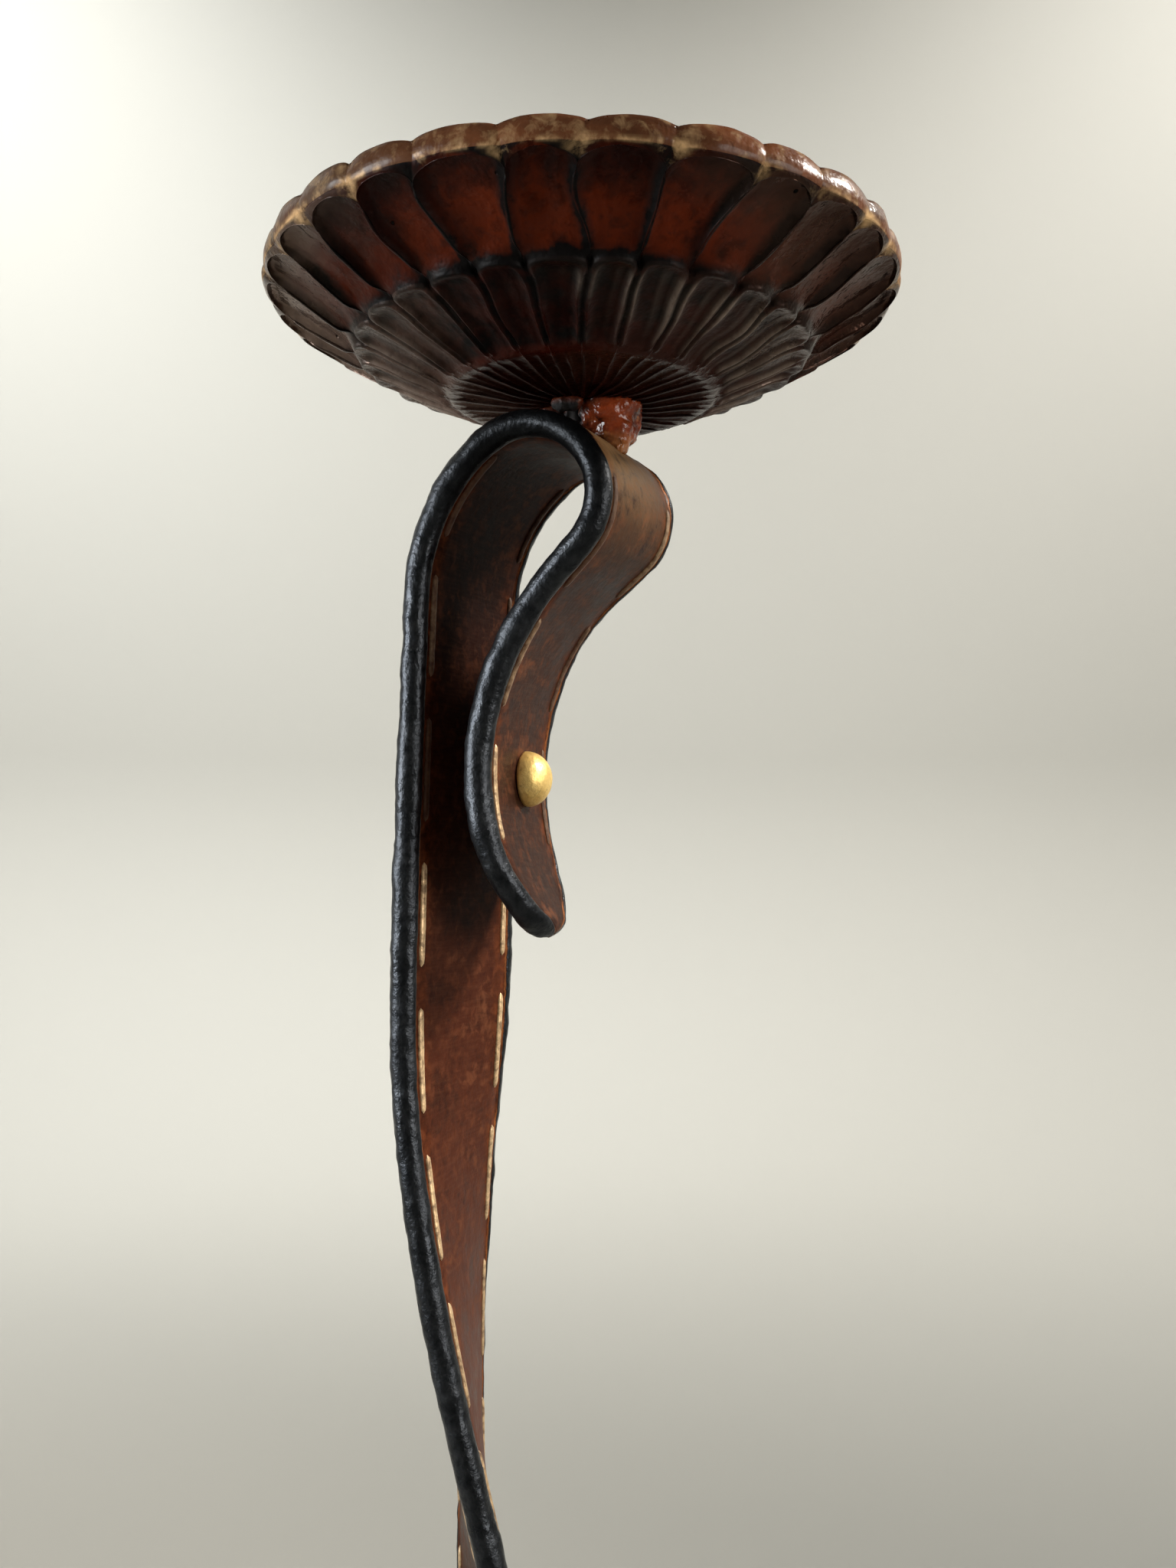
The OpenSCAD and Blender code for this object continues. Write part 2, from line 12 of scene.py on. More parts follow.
import bmesh
import bpy
import numpy as np
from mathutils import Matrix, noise


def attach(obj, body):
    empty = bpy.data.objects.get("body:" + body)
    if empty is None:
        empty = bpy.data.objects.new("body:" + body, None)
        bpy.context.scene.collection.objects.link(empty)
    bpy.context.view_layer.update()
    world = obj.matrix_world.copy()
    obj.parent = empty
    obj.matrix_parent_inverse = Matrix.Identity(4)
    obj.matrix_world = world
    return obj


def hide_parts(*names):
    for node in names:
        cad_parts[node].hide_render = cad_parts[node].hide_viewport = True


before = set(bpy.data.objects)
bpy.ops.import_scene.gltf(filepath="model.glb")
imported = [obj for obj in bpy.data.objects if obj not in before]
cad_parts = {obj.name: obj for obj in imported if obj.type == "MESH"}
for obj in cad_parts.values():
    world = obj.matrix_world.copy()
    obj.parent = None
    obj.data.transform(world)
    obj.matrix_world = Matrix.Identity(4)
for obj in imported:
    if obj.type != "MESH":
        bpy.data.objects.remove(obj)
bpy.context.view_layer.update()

MM = 0.001
BODY = "root"

# %% [markdown]
# ## Camera
# The picture was taken from below the dish, close by. The strap's own width and the rim's ellipse
# gave the camera's place: 240 mm from the dish's axis, a little over 100 mm below the rim, 27 degrees
# to the right of the front and pitched up by 2 degrees. A pinhole camera with the same focal length
# in pixels gives the same perspective, which a longer lens further off would flatten.

# %% The camera
PHOTO_HEIGHT = 2048
FOCAL_PIXELS = 1656
SENSOR = 36
CAMERA_TURN = math.radians(27)
CAMERA_PITCH = math.radians(2)
CAMERA_OUT = 240.4
CAMERA_RIGHT = 1.1
CAMERA_HEIGHT = 317.6

camera = bpy.data.objects.new("camera", bpy.data.cameras.new("camera"))
camera.data.sensor_width = SENSOR
camera.data.lens = SENSOR * FOCAL_PIXELS / PHOTO_HEIGHT
camera.data.clip_start = 0.01
camera.location = (
    (math.sin(CAMERA_TURN) * CAMERA_OUT + math.cos(CAMERA_TURN) * CAMERA_RIGHT) * MM,
    (-math.cos(CAMERA_TURN) * CAMERA_OUT + math.sin(CAMERA_TURN) * CAMERA_RIGHT) * MM,
    CAMERA_HEIGHT * MM)
camera.rotation_euler = (math.pi / 2 + CAMERA_PITCH, 0, CAMERA_TURN)
bpy.context.scene.collection.objects.link(camera)
bpy.context.scene.camera = camera
print("lens", round(camera.data.lens, 2), "mm")

# %% [markdown]
# ## Helpers for node trees
# Geometry trees and shader trees are wired the same way. A small bench places a node, fills its
# inputs with values or with other nodes' outputs, and hands back its output, so that a tree reads
# from top to bottom like a recipe.

# %% The bench
class Bench:
    """A node tree being wired."""

    def __init__(self, tree):
        self.tree = tree

    def add(self, kind, inputs=None, out=0, **settings):
        node = self.tree.nodes.new(kind)
        for name, value in settings.items():
            setattr(node, name, value)
        for key, value in (inputs or {}).items():
            if isinstance(value, bpy.types.NodeSocket):
                self.tree.links.new(value, node.inputs[key])
            else:
                node.inputs[key].default_value = value
        return node.outputs[out] if out is not None else node

    def sum(self, how, a, b=0.5, c=0.5):
        return self.add("ShaderNodeMath", {0: a, 1: b, 2: c}, operation=how)

    def vector(self, how, a, b=(0, 0, 0)):
        return self.add("ShaderNodeVectorMath", {0: a, 1: b}, operation=how)

    def scaled(self, a, by):
        return self.add("ShaderNodeVectorMath", {0: a, "Scale": by}, operation="SCALE")


def new_tree(name, kind, inputs, outputs):
    """A tree with named inputs and outputs. Returns its bench, the given values and the result node."""
    tree = bpy.data.node_groups.new(name, kind)
    for label, socket, value in inputs:
        made = tree.interface.new_socket(label, in_out="INPUT", socket_type=socket)
        if value is not None:
            made.default_value = value
    for label, socket in outputs:
        tree.interface.new_socket(label, in_out="OUTPUT", socket_type=socket)
    given = tree.nodes.new("NodeGroupInput").outputs
    result = tree.nodes.new("NodeGroupOutput").inputs
    return Bench(tree), given, result


FLOAT, INT, SHAPE = "NodeSocketFloat", "NodeSocketInt", "NodeSocketGeometry"
FINISH = ("Finish", "NodeSocketMaterial", None)


def shape_tree(name, inputs):
    """A geometry tree: shape in, shape out, and a finish."""
    return new_tree(name, "GeometryNodeTree", [("Shape", SHAPE, None)] + inputs + [FINISH], [("Shape", SHAPE)])


def close_tree(bench, given, result, shape):
    """Every tree ends in Realize Instances and Set Material, because the export drops instances."""
    smooth = bench.add("GeometryNodeSetShadeSmooth", {0: shape})
    real = bench.add("GeometryNodeRealizeInstances", {0: smooth})
    painted = bench.add("GeometryNodeSetMaterial", {0: real, "Material": given["Finish"]})
    bench.tree.links.new(painted, result[0])
    return bench.tree


print("bench ready")

# %% Keep, grow and hand over a piece
def mesh_piece(name, points, faces, edges=()):
    """A mesh object from points in millimetres."""
    mesh = bpy.data.meshes.new(name)
    mesh.from_pydata([tuple(p) for p in np.asarray(points) * MM], list(edges), [tuple(f) for f in faces])
    piece = bpy.data.objects.new(name, mesh)
    bpy.context.scene.collection.objects.link(piece)
    return piece


def note(piece, name, values, kind="FLOAT"):
    """Writes one value or vector on every point of a piece, for a tree or a finish to read."""
    layer = piece.data.attributes.new(name, kind, "POINT")
    layer.data.foreach_set("value" if kind == "FLOAT" else "vector", np.asarray(values, dtype=float).ravel())


def grow(piece, tree, settings):
    """Runs a tree on a piece and keeps the result as its plain mesh."""
    modifier = piece.modifiers.new(tree.name, "NODES")
    modifier.node_group = tree
    for socket in tree.interface.items_tree:
        if socket.in_out == "INPUT" and socket.name in settings:
            modifier[socket.identifier] = settings[socket.name]
    bpy.context.view_layer.update()
    made = bpy.data.meshes.new_from_object(piece.evaluated_get(bpy.context.evaluated_depsgraph_get()))
    piece.modifiers.clear()
    made.name = piece.name
    piece.data = made
    return piece


def outward(piece):
    """Turns every face outwards."""
    work = bmesh.new()
    work.from_mesh(piece.data)
    bmesh.ops.recalc_face_normals(work, faces=work.faces)
    work.to_mesh(piece.data)
    work.free()


def hand_over(piece, slot, *nodes):
    """The finished piece rides on the body and stands for its CAD nodes."""
    for face in piece.data.polygons:
        face.use_smooth = True
    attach(piece, BODY)
    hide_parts(*nodes)
    low = [round(v * 1000, 1) for v in np.min([v.co for v in piece.data.vertices], axis=0)]
    high = [round(v * 1000, 1) for v in np.max([v.co for v in piece.data.vertices], axis=0)]
    print(piece.name, len(piece.data.polygons), "faces, from", low, "to", high, "mm")


def held_in(piece, radius):
    """Keeps a piece inside a radius about the middle axis, in millimetres."""
    for point in piece.data.vertices:
        out = math.hypot(point.co.x, point.co.y) / (radius * MM)
        if out > 1:
            point.co.x, point.co.y = point.co.x / out, point.co.y / out


def drop(piece):
    """Takes away a helper object that isn't part of the candle holder."""
    bpy.data.objects.remove(piece)


# %% [markdown]
# ## Shader groups
# Lacquer, paint and brass all share a few effects: a mottle laid on by hand, small pits that the
# casting sand leaves, and fine dents of the hammer. Each is a group with named inputs, built once.
# They read Object coordinates, because every piece keeps its place in its mesh.

# %% Groups for mottle, pits and dents
def shader_group(name, inputs, outputs):
    bench, given, result = new_tree(name, "ShaderNodeTree", inputs, outputs)
    place = bench.add("ShaderNodeTexCoord", out="Object")
    return bench, given, result, place


def mottle_group():
    """Cloudy patches: 0 to 1 over the surface, with finer blotches laid over."""
    bench, given, result, place = shader_group(
        "Hand Mottle", [("Patch Size", FLOAT, 0.01), ("Spread", FLOAT, 0.2), ("Offset", FLOAT, 0.0)],
        [("Mask", FLOAT)])
    moved = bench.vector("ADD", place, bench.add("ShaderNodeCombineXYZ", {0: given["Offset"]}))
    broad = bench.add("ShaderNodeTexNoise", {
        "Vector": moved, "Scale": bench.sum("DIVIDE", 1.0, given["Patch Size"]), "Detail": 6.0,
        "Roughness": 0.62, "Distortion": 0.4})
    low = bench.sum("SUBTRACT", 0.5, given["Spread"])
    high = bench.sum("ADD", 0.5, given["Spread"])
    bench.tree.links.new(
        bench.add("ShaderNodeMapRange", {"Value": broad, "From Min": low, "From Max": high}), result[0])
    return bench.tree


def pits_group():
    """Sparse dark pinholes of a sand casting: 1 in a pit and 0 elsewhere."""
    bench, given, result, place = shader_group(
        "Casting Pits", [("Spacing", FLOAT, 0.006), ("Pit Size", FLOAT, 0.1), ("Share", FLOAT, 0.3)],
        [("Mask", FLOAT)])
    cell = bench.add("ShaderNodeTexVoronoi", {
        "Vector": place, "Scale": bench.sum("DIVIDE", 1.0, given["Spacing"])}, out=None)
    near = bench.add("ShaderNodeMapRange", {
        "Value": cell.outputs["Distance"], "From Min": given["Pit Size"],
        "From Max": bench.sum("MULTIPLY", given["Pit Size"], 0.5)})
    tone = bench.add("ShaderNodeSeparateColor", {0: cell.outputs["Color"]})
    chosen = bench.sum("LESS_THAN", tone, given["Share"])
    bench.tree.links.new(bench.sum("MULTIPLY", near, chosen), result[0])
    return bench.tree


def dents_group():
    """Shallow hammer and brush marks: a height from 0 to 1."""
    bench, given, result, place = shader_group(
        "Fine Dents", [("Dent Size", FLOAT, 0.003), ("Fineness", FLOAT, 0.5)], [("Height", FLOAT)])
    scale = bench.sum("DIVIDE", 1.0, given["Dent Size"])
    broad = bench.add("ShaderNodeTexNoise", {
        "Vector": place, "Scale": scale, "Detail": 3.0, "Roughness": given["Fineness"]})
    bench.tree.links.new(broad, result[0])
    return bench.tree


MOTTLE = mottle_group()
PITS = pits_group()
DENTS = dents_group()
print("groups", MOTTLE.name, PITS.name, DENTS.name)

# %% A finish and its helpers
class Finish(Bench):
    """A material on the bench: one Principled shader fed by masks."""

    def __init__(self, name, **plain):
        self.material = bpy.data.materials.new(name)
        self.material.use_nodes = True
        super().__init__(self.material.node_tree)
        self.shader = self.tree.nodes["Principled BSDF"]
        for key, value in plain.items():
            self.shader.inputs[key.replace("_", " ")].default_value = value

    def group(self, tree, **values):
        node = self.add("ShaderNodeGroup", out=None, node_tree=tree)
        for key, value in values.items():
            node.inputs[key.replace("_", " ")].default_value = value
        return node.outputs[0]

    def mark(self, name):
        """A value written on the piece's points."""
        return self.add("ShaderNodeAttribute", out="Fac", attribute_name=name)

    def blend(self, share, first, second):
        """Colour that goes from first to second as share goes from 0 to 1."""
        return self.add("ShaderNodeMix", {0: share, 6: first, 7: second}, out=2, data_type="RGBA")

    def between(self, value, low, high, start=0.0, end=1.0):
        return self.add("ShaderNodeMapRange", {
            "Value": value, "From Min": low, "From Max": high, "To Min": start, "To Max": end})

    def feed(self, socket, value):
        self.tree.links.new(value, self.shader.inputs[socket])

    def bump(self, height, depth, under=None):
        """A bump of that depth in millimetres, over another bump if one is given."""
        inputs = {"Height": height, "Distance": depth * MM, "Strength": 1.0}
        if under is not None:
            inputs["Normal"] = under
        return self.add("ShaderNodeBump", inputs)


def colour(red, green, blue):
    """A colour as the eye reads it, 0 to 255, turned to the linear value that the shader wants."""
    return tuple(((v / 255 + 0.055) / 1.055) ** 2.4 if v > 10 else v / 255 / 12.92 for v in (red, green, blue)) + (1.0,)


print("finish helper ready")

# %% [markdown]
# ## Lacquer on the castings
# Dish and foot are cast, painted in a warm brown and blackened in the hollows, under a thick clear
# lacquer. The colour comes from masks that the mesh carries, where the petals are warm, where they
# are dark and where the lip was rubbed. Some of it is painted light. The dark mask is the blackening
# and also painted shade under the lip, at the step and over the sunken middle tier. The warm mask is
# strongest at the lower ends of the scoops, partly as painted light. The pale room's reflection on
# the sides is painted as well: a mask by place lays a grey, metallic sheen on the left and right and
# painted highlights on the middle tier's ridges. A faint clear coat is a little stronger on the lip.

# %% The lacquer
SHEEN_AXIS = (0.96, 0.28, 0)


def lacquer(name, deep, warm, lip, gold):
    finish = Finish(name, Specular_IOR_Level=0.08, Coat_Roughness=0.12)
    broad = finish.group(MOTTLE, Patch_Size=0.011, Spread=0.16)
    wide = finish.group(MOTTLE, Patch_Size=0.03, Spread=0.12, Offset=0.9)
    fine = finish.group(MOTTLE, Patch_Size=0.0028, Spread=0.2, Offset=0.3)
    pits = finish.group(PITS, Spacing=0.0042, Pit_Size=0.1, Share=0.09)
    place = finish.add("ShaderNodeTexCoord", out="Object")
    across = finish.add("ShaderNodeVectorMath", {0: place, 1: SHEEN_AXIS}, out="Value", operation="DOT_PRODUCT")
    across = finish.sum("MULTIPLY_ADD", wide, 0.014, across)
    # This mask rises from the dish's left side to a little right of the front. It weakens the warm colour and changes
    # the lip's and the painted sheen's colour on the left.
    rightward = finish.between(across, -0.038, 0.012)
    off_front = finish.sum("ABSOLUTE", across)
    # Painted reflection: the sheen mask lays a grey, metallic colour on the dish's left and right sides and on the
    # middle tier's sides, where the lacquer would mirror the pale room.
    inner_tiers = finish.sum("MAXIMUM", finish.between(across, -0.004, -0.022), finish.between(across, 0.01, 0.022, 0.0, 0.5))
    inner_tiers = finish.sum("MULTIPLY", inner_tiers, finish.between(finish.mark("warm"), 0.2, 0.0, 0.0, 0.45))
    sheen = finish.sum("MAXIMUM", finish.between(across, 0.034, 0.054), finish.between(across, -0.022, -0.044))
    sheen = finish.sum("MAXIMUM", sheen, inner_tiers)
    ragged = finish.sum("MULTIPLY_ADD", fine, 0.5, finish.sum("MULTIPLY_ADD", broad, 0.4, -0.45))
    # Warm orange, partly painted light on the scoops' lower ends, and weaker on the dish's left.
    warmth = finish.between(finish.sum("MULTIPLY_ADD", wide, 0.35, finish.sum("ADD", finish.mark("warm"), ragged)), 0.4, 1.1)
    warmth = finish.sum("MULTIPLY", warmth, finish.between(rightward, 0.0, 1.0, 0.12, 1.0))
    ground = finish.blend(broad, colour(*[v * 0.7 for v in deep]), colour(*[v * 1.15 for v in deep]))
    glow = finish.blend(warmth, finish.blend(fine, colour(*[v * 0.5 for v in warm]), colour(*[v * 0.75 for v in warm])), colour(*warm))
    ground = finish.blend(warmth, ground, glow)
    # Near black where the dark mask is: blackening in the hollows and painted shade under the lip, at the step and over
    # the middle tier.
    strength = finish.between(wide, 0.0, 1.0, 0.25, 1.2)
    black_and_shade = finish.sum("MULTIPLY_ADD", ragged, 0.9, finish.sum("MULTIPLY", finish.mark("dark"), strength))
    black_and_shade = finish.between(black_and_shade, 0.25, 0.75)
    ground = finish.blend(black_and_shade, ground, colour(6, 4, 4))
    sheen = finish.sum("MULTIPLY", sheen, finish.between(finish.mark("rim"), 0.4, 0.0, 0.0, 0.7))
    # The grey of the painted reflection, lighter on the left and darker where the dish is blackened or shaded.
    sheen_grey = finish.blend(rightward, colour(126, 108, 96), colour(78, 58, 48))
    sheen_grey = finish.blend(finish.sum("MULTIPLY", black_and_shade, 0.5), sheen_grey, colour(40, 36, 35))
    ground = finish.blend(sheen, ground, sheen_grey)
    # Painted highlight: pale grey and metallic on the middle tier's ridges, away from the front.
    crown = finish.sum("MULTIPLY", finish.mark("crown"), finish.between(off_front, 0.014, 0.032))
    crown = finish.sum("MULTIPLY", crown, finish.between(fine, 0.0, 0.8, 0.4, 0.95))
    ground = finish.blend(crown, ground, colour(142, 126, 114))
    rubbed = finish.sum("MULTIPLY_ADD", ragged, 0.35, finish.mark("rim"))
    band = finish.blend(rightward, colour(*[v * 0.42 for v in gold]), colour(*lip))
    band = finish.blend(finish.between(broad, 0.1, 0.9), band, colour(*[v * 0.7 for v in lip]))
    band = finish.blend(finish.between(fine, 0.5, 1.0, 0.0, 0.55), band, colour(*gold))
    ground = finish.blend(finish.between(rubbed, 0.4, 0.6), ground, band)
    # Bright gold where the glint mask is: painted glints, partly rubbed gold.
    worn = finish.sum("MULTIPLY_ADD", fine, 0.4, broad)
    glint = finish.sum("MULTIPLY", finish.mark("glint"), finish.between(worn, 0.6, 1.15))
    ground = finish.blend(glint, ground, colour(*[min(255, v * 1.3) for v in gold]))
    ground = finish.blend(pits, ground, colour(5, 4, 4))
    finish.feed("Base Color", ground)
    finish.feed("Coat Weight", finish.between(finish.mark("rim"), 0.0, 1.0, 0.02, 0.12))
    shiny = finish.sum("MAXIMUM", sheen, finish.sum("MULTIPLY", crown, 0.8))
    finish.feed("Metallic", finish.sum("MAXIMUM", finish.sum("MULTIPLY", glint, 0.4), shiny))
    dull = finish.sum("MULTIPLY", finish.mark("rim"), finish.between(rightward, 0.0, 1.0, 0.22, 0.04))
    dull = finish.sum("MULTIPLY_ADD", finish.sum("MULTIPLY_ADD", sheen, -1.6, finish.mark("dark")), 0.3, dull)
    finish.feed("Roughness", finish.sum("MAXIMUM", finish.sum("ADD", dull, finish.between(fine, 0.0, 1.0, 0.2, 0.36)), 0.2))
    skin = finish.bump(finish.group(DENTS, Dent_Size=0.0042, Fineness=0.6), 0.5)
    skin = finish.bump(finish.group(DENTS, Dent_Size=0.0009, Fineness=0.5), 0.04, skin)
    skin = finish.bump(finish.sum("SUBTRACT", 1.0, pits), 0.3, skin)
    finish.feed("Normal", skin)
    return finish.material


DISH_LACQUER = lacquer("dish_lacquer", (42, 10, 4), (94, 32, 8), (104, 62, 38), (164, 134, 96))
FOOT_LACQUER = lacquer("foot_lacquer", (52, 15, 8), (108, 40, 13), (116, 80, 54), (154, 124, 88))
print("lacquers", DISH_LACQUER.name, FOOT_LACQUER.name)

# %% [markdown]
# ## The castings' petals
# A fluted casting is one petal repeated. The petal is drawn here as a strip between two ridges: a
# profile that runs from the middle out over two tiers to the lip, whose hollows follow a half circle
# across the petal. Geometry Nodes then repeat the strip round the axis, merge the seams, and let a
# slow noise pull the whole casting out of true, so that no petal is quite like its neighbour.

# %% Sizes of the castings
PETALS = 28
PETAL_HEAD = 2.6
PETAL_ARCH = 3.4
STEP_PROUD = 0.9
LIP_INSET = 1
LIP_ROUND = 0.8
TOE_RISE = 1.2
TOE_LEN = 1.6
DISH = dict(rim=60, lip=3, scallop=1.3, step=(44, 13.7), ring=(26, 21), flat=13, depth=23, outer=1.7, inner=1.1, bay=0.8)
FOOT = dict(rim=75, lip=3.4, scallop=0, step=(60, 13), ring=(48.5, 21), flat=47, depth=22, outer=1.8, inner=1.26, bay=0)
DISH_WALL = 3.4
DISH_RIM_W = 3
DISH_RIM_H = 1.6
BOWL_SWELL = 0.6
BOWL_HEEL = 4
DISH_PHASE = 2
FOOT_WALL = 4.5
FOOT_RING_W = 6
FELT = 2
FOOT_STUD_R = 2.6
SHANK_BORE_R = 3.1
BENDS = 10

# %% One petal's profile
def mixed(a, b, t):
    return a + (b - a) * t


def show_side(cast, x):
    """Corner points of the show side at x across the petal, as radius and depth behind the rim."""
    hollow = math.sqrt(max(0, 1 - x * x))
    rim, lip = cast["rim"], cast["lip"]
    step, ring = np.array(cast["step"], float), np.array(cast["ring"], float)
    head, arch = PETAL_HEAD * (1 - hollow), PETAL_ARCH * (1 - hollow)
    top = np.array([rim - LIP_INSET, lip + LIP_INSET])
    toe = step - (0, STEP_PROUD)
    span = np.linalg.norm(top - toe)
    near = mixed(top, toe, (arch + LIP_INSET) / span)
    line = mixed(step, ring, 0.12 + head / np.linalg.norm(step - ring))
    deep, shallow = cast["outer"] * hollow, cast["inner"] * hollow
    bay = cast["bay"] * (1 - hollow)
    return np.array([
        (cast["flat"], cast["depth"]),
        ring + (-1, 0.5),
        ring + (0.4, -0.4 * hollow),
        mixed(ring, step, 0.14) - (0, shallow * 0.8),
        mixed(ring, step, 0.5) - (0, shallow),
        line + (-TOE_RISE, -shallow * 0.8),
        step + (-head - 0.6, 0.1),
        step + (-head, -STEP_PROUD),
        toe + (TOE_LEN, -TOE_RISE - deep * 0.7),
        mixed(top, toe, 0.5) - (0, deep * 1.2),
        near - (0, deep),
        mixed(top, toe, arch / span),
        (rim - 0.2 - bay, lip),
        (rim - bay, lip * 0.4),
        (rim - LIP_ROUND - bay, -cast["scallop"] * hollow),
    ])


def rounded(corners, cuts):
    """A smooth line through corner points, with that many cuts in each stretch."""
    ends = np.vstack([corners[:1], corners, corners[-1:]])
    line, stations = [], []
    for k, cut in enumerate(cuts):
        p0, p1, p2, p3 = ends[k:k + 4]
        a, b = np.linalg.norm(p2 - p1), max(1e-6, np.linalg.norm(p1 - p0))
        c = max(1e-6, np.linalg.norm(p3 - p2))
        m1 = (p2 - p1) if k == 0 else (p2 - p0) / (a + b) * a
        m2 = (p2 - p1) if k == len(cuts) - 1 else (p3 - p1) / (a + c) * a
        for t in np.arange(cut) / cut:
            line.append((2 * t**3 - 3 * t**2 + 1) * p1 + (t**3 - 2 * t**2 + t) * m1
                        + (-2 * t**3 + 3 * t**2) * p2 + (t**3 - t**2) * m2)
            stations.append(k + t)
    return np.vstack([line, corners[-1:]]), np.array(stations + [len(cuts)])


SHOW_CUTS = [10, 3, 3, 8, 8, 4, 3, 3, 10, 10, 4, 5, 4, 3]
print("show side", sum(SHOW_CUTS) + 1, "points")

# %% Fine forms and masks on the profile
RIM_SOFT = 0.93


def hump(value, middle, width):
    return np.exp(-((value - middle) / width) ** 2)


def rise(value, low, high):
    t = np.clip((value - low) / (high - low), 0, 1)
    return t * t * (3 - 2 * t)


def dressed(cast, x):
    """The profile at x with the fine ridges, and the masks that the lacquer reads."""
    line, at = rounded(show_side(cast, x), SHOW_CUTS)
    soft, at = rounded(show_side(cast, x * RIM_SOFT), SHOW_CUTS)
    worn = rise(at, 10.8, 11.8)[:, None]
    line = line * (1 - worn) + soft * worn
    side = abs(x)
    rings = 1 - rise(at, 0.8, 1.0) if cast is DISH else rise(at, 0.1, 0.3) * (1 - rise(at, 0.8, 1.0))
    fine = 0.42 * np.sqrt(max(0, 1 - (2 * side - 1) ** 2)) * rings
    middle = rise(at, 1.8, 2.6) * (1 - rise(at, 5.0, 6.0))
    ridge = 0.8 * hump(side, 0.76, 0.13) - 0.5 * rise(side, 0.93, 1.0) + 0.2 * hump(x, 0.2, 0.12)
    outer = rise(at, 7.6, 8.2) * (1 - rise(at, 9.8, 10.8))
    sharp = 0.45 * rise(side, 0.8, 1.0) - 0.35 * hump(side, 0.72, 0.1)
    line = line + np.stack([0 * at, -fine + ridge * middle + sharp * outer], 1)

    hollow = math.sqrt(max(0, 1 - side**2))
    down = np.linalg.norm(line - line[-4], axis=1)
    arch = down - 1.2 - PETAL_ARCH * (1 - hollow)
    on_outer = rise(at, 6.6, 7.2) * (1 - rise(at, 11.9, 12.3))
    # The dark mask is partly blackening in the hollows and partly painted shade: under the overhanging lip at the head
    # of each scoop, heavier on the scoop's right side, along the scoops' sides, at the step, in the inner ring's
    # grooves and over the sunken middle tier.
    lean = 0.6 + 0.4 * rise(x, -0.5, 0.5)
    dark = (1 - rise(arch, 0.2, 1.0 + 2.0 * rise(x, -0.6, 0.7))) * lean
    dark = np.maximum(dark, rise(side, 0.55, 0.95) * (0.55 + 0.35 * rise(x, -0.2, 0.2)))
    dark = np.maximum(dark * on_outer, rise(at, 5.2, 6.2) * (0.85 - 0.5 * rise(at, 6.9, 7.6) - 0.35 * rise(at, 7.8, 8.8)))
    dark = np.maximum(dark, 0.5 * rings * (1 - hollow * 0.5))
    dark = np.maximum(dark, middle * (0.6 + 0.25 * rise(at, 4.6, 5.8) + 0.4 * rise(side, 0.88, 1.0)))
    # The warm mask lays the brown's orange strongest at the lower end of each outer scoop and towards its middle:
    # partly the paint, partly painted light where the light falls into the hollow.
    warm = on_outer * (0.25 + 0.6 * rise(down, 5.0, 13.0)) * (0.6 + 0.4 * hollow)
    rim = rise(at, 11.75, 12.0)
    # The glint mask: painted glints where the ridges meet the lip, partly rubbed gold, and a thin gold line along the
    # lip.
    glint = rise(at, 10.9, 11.5) * (1 - rise(at, 12.1, 12.7)) * rise(side, 0.55, 0.92)
    glint = np.maximum(glint, 0.75 * hump(at, 12.0, 0.22))
    # The crown mask marks the middle tier's ridge tops for a painted highlight.
    crown = rise(at, 2.2, 3.2) * (1 - rise(at, 4.9, 5.7)) * (hump(side, 0.76, 0.13) + 0.2 * hump(x, 0.2, 0.12))
    return line, dict(dark=dark, warm=warm, rim=rim, glint=glint, crown=crown)


ACROSS = np.sin(np.linspace(-math.pi / 2, math.pi / 2, 21))
print("across a petal", len(ACROSS), "lines")

# %% From profile to strip
def strip(name, petals, lines, marks, closed):
    """One petal as a strip: each line is a profile at its place across, as radius and height."""
    rows, columns = len(lines[0]), len(lines)
    points = []
    for x, line in zip(ACROSS, lines):
        angle = x * math.pi / petals
        points += [(r * math.cos(angle), r * math.sin(angle), z) for r, z in line]
    last = rows if closed else rows - 1
    faces = [(c * rows + r, (c + 1) * rows + r, (c + 1) * rows + (r + 1) % rows, c * rows + (r + 1) % rows)
             for c in range(columns - 1) for r in range(last)]
    piece = mesh_piece(name, points, faces)
    for key in marks[0]:
        note(piece, key, np.concatenate([m[key] for m in marks]))
    return piece


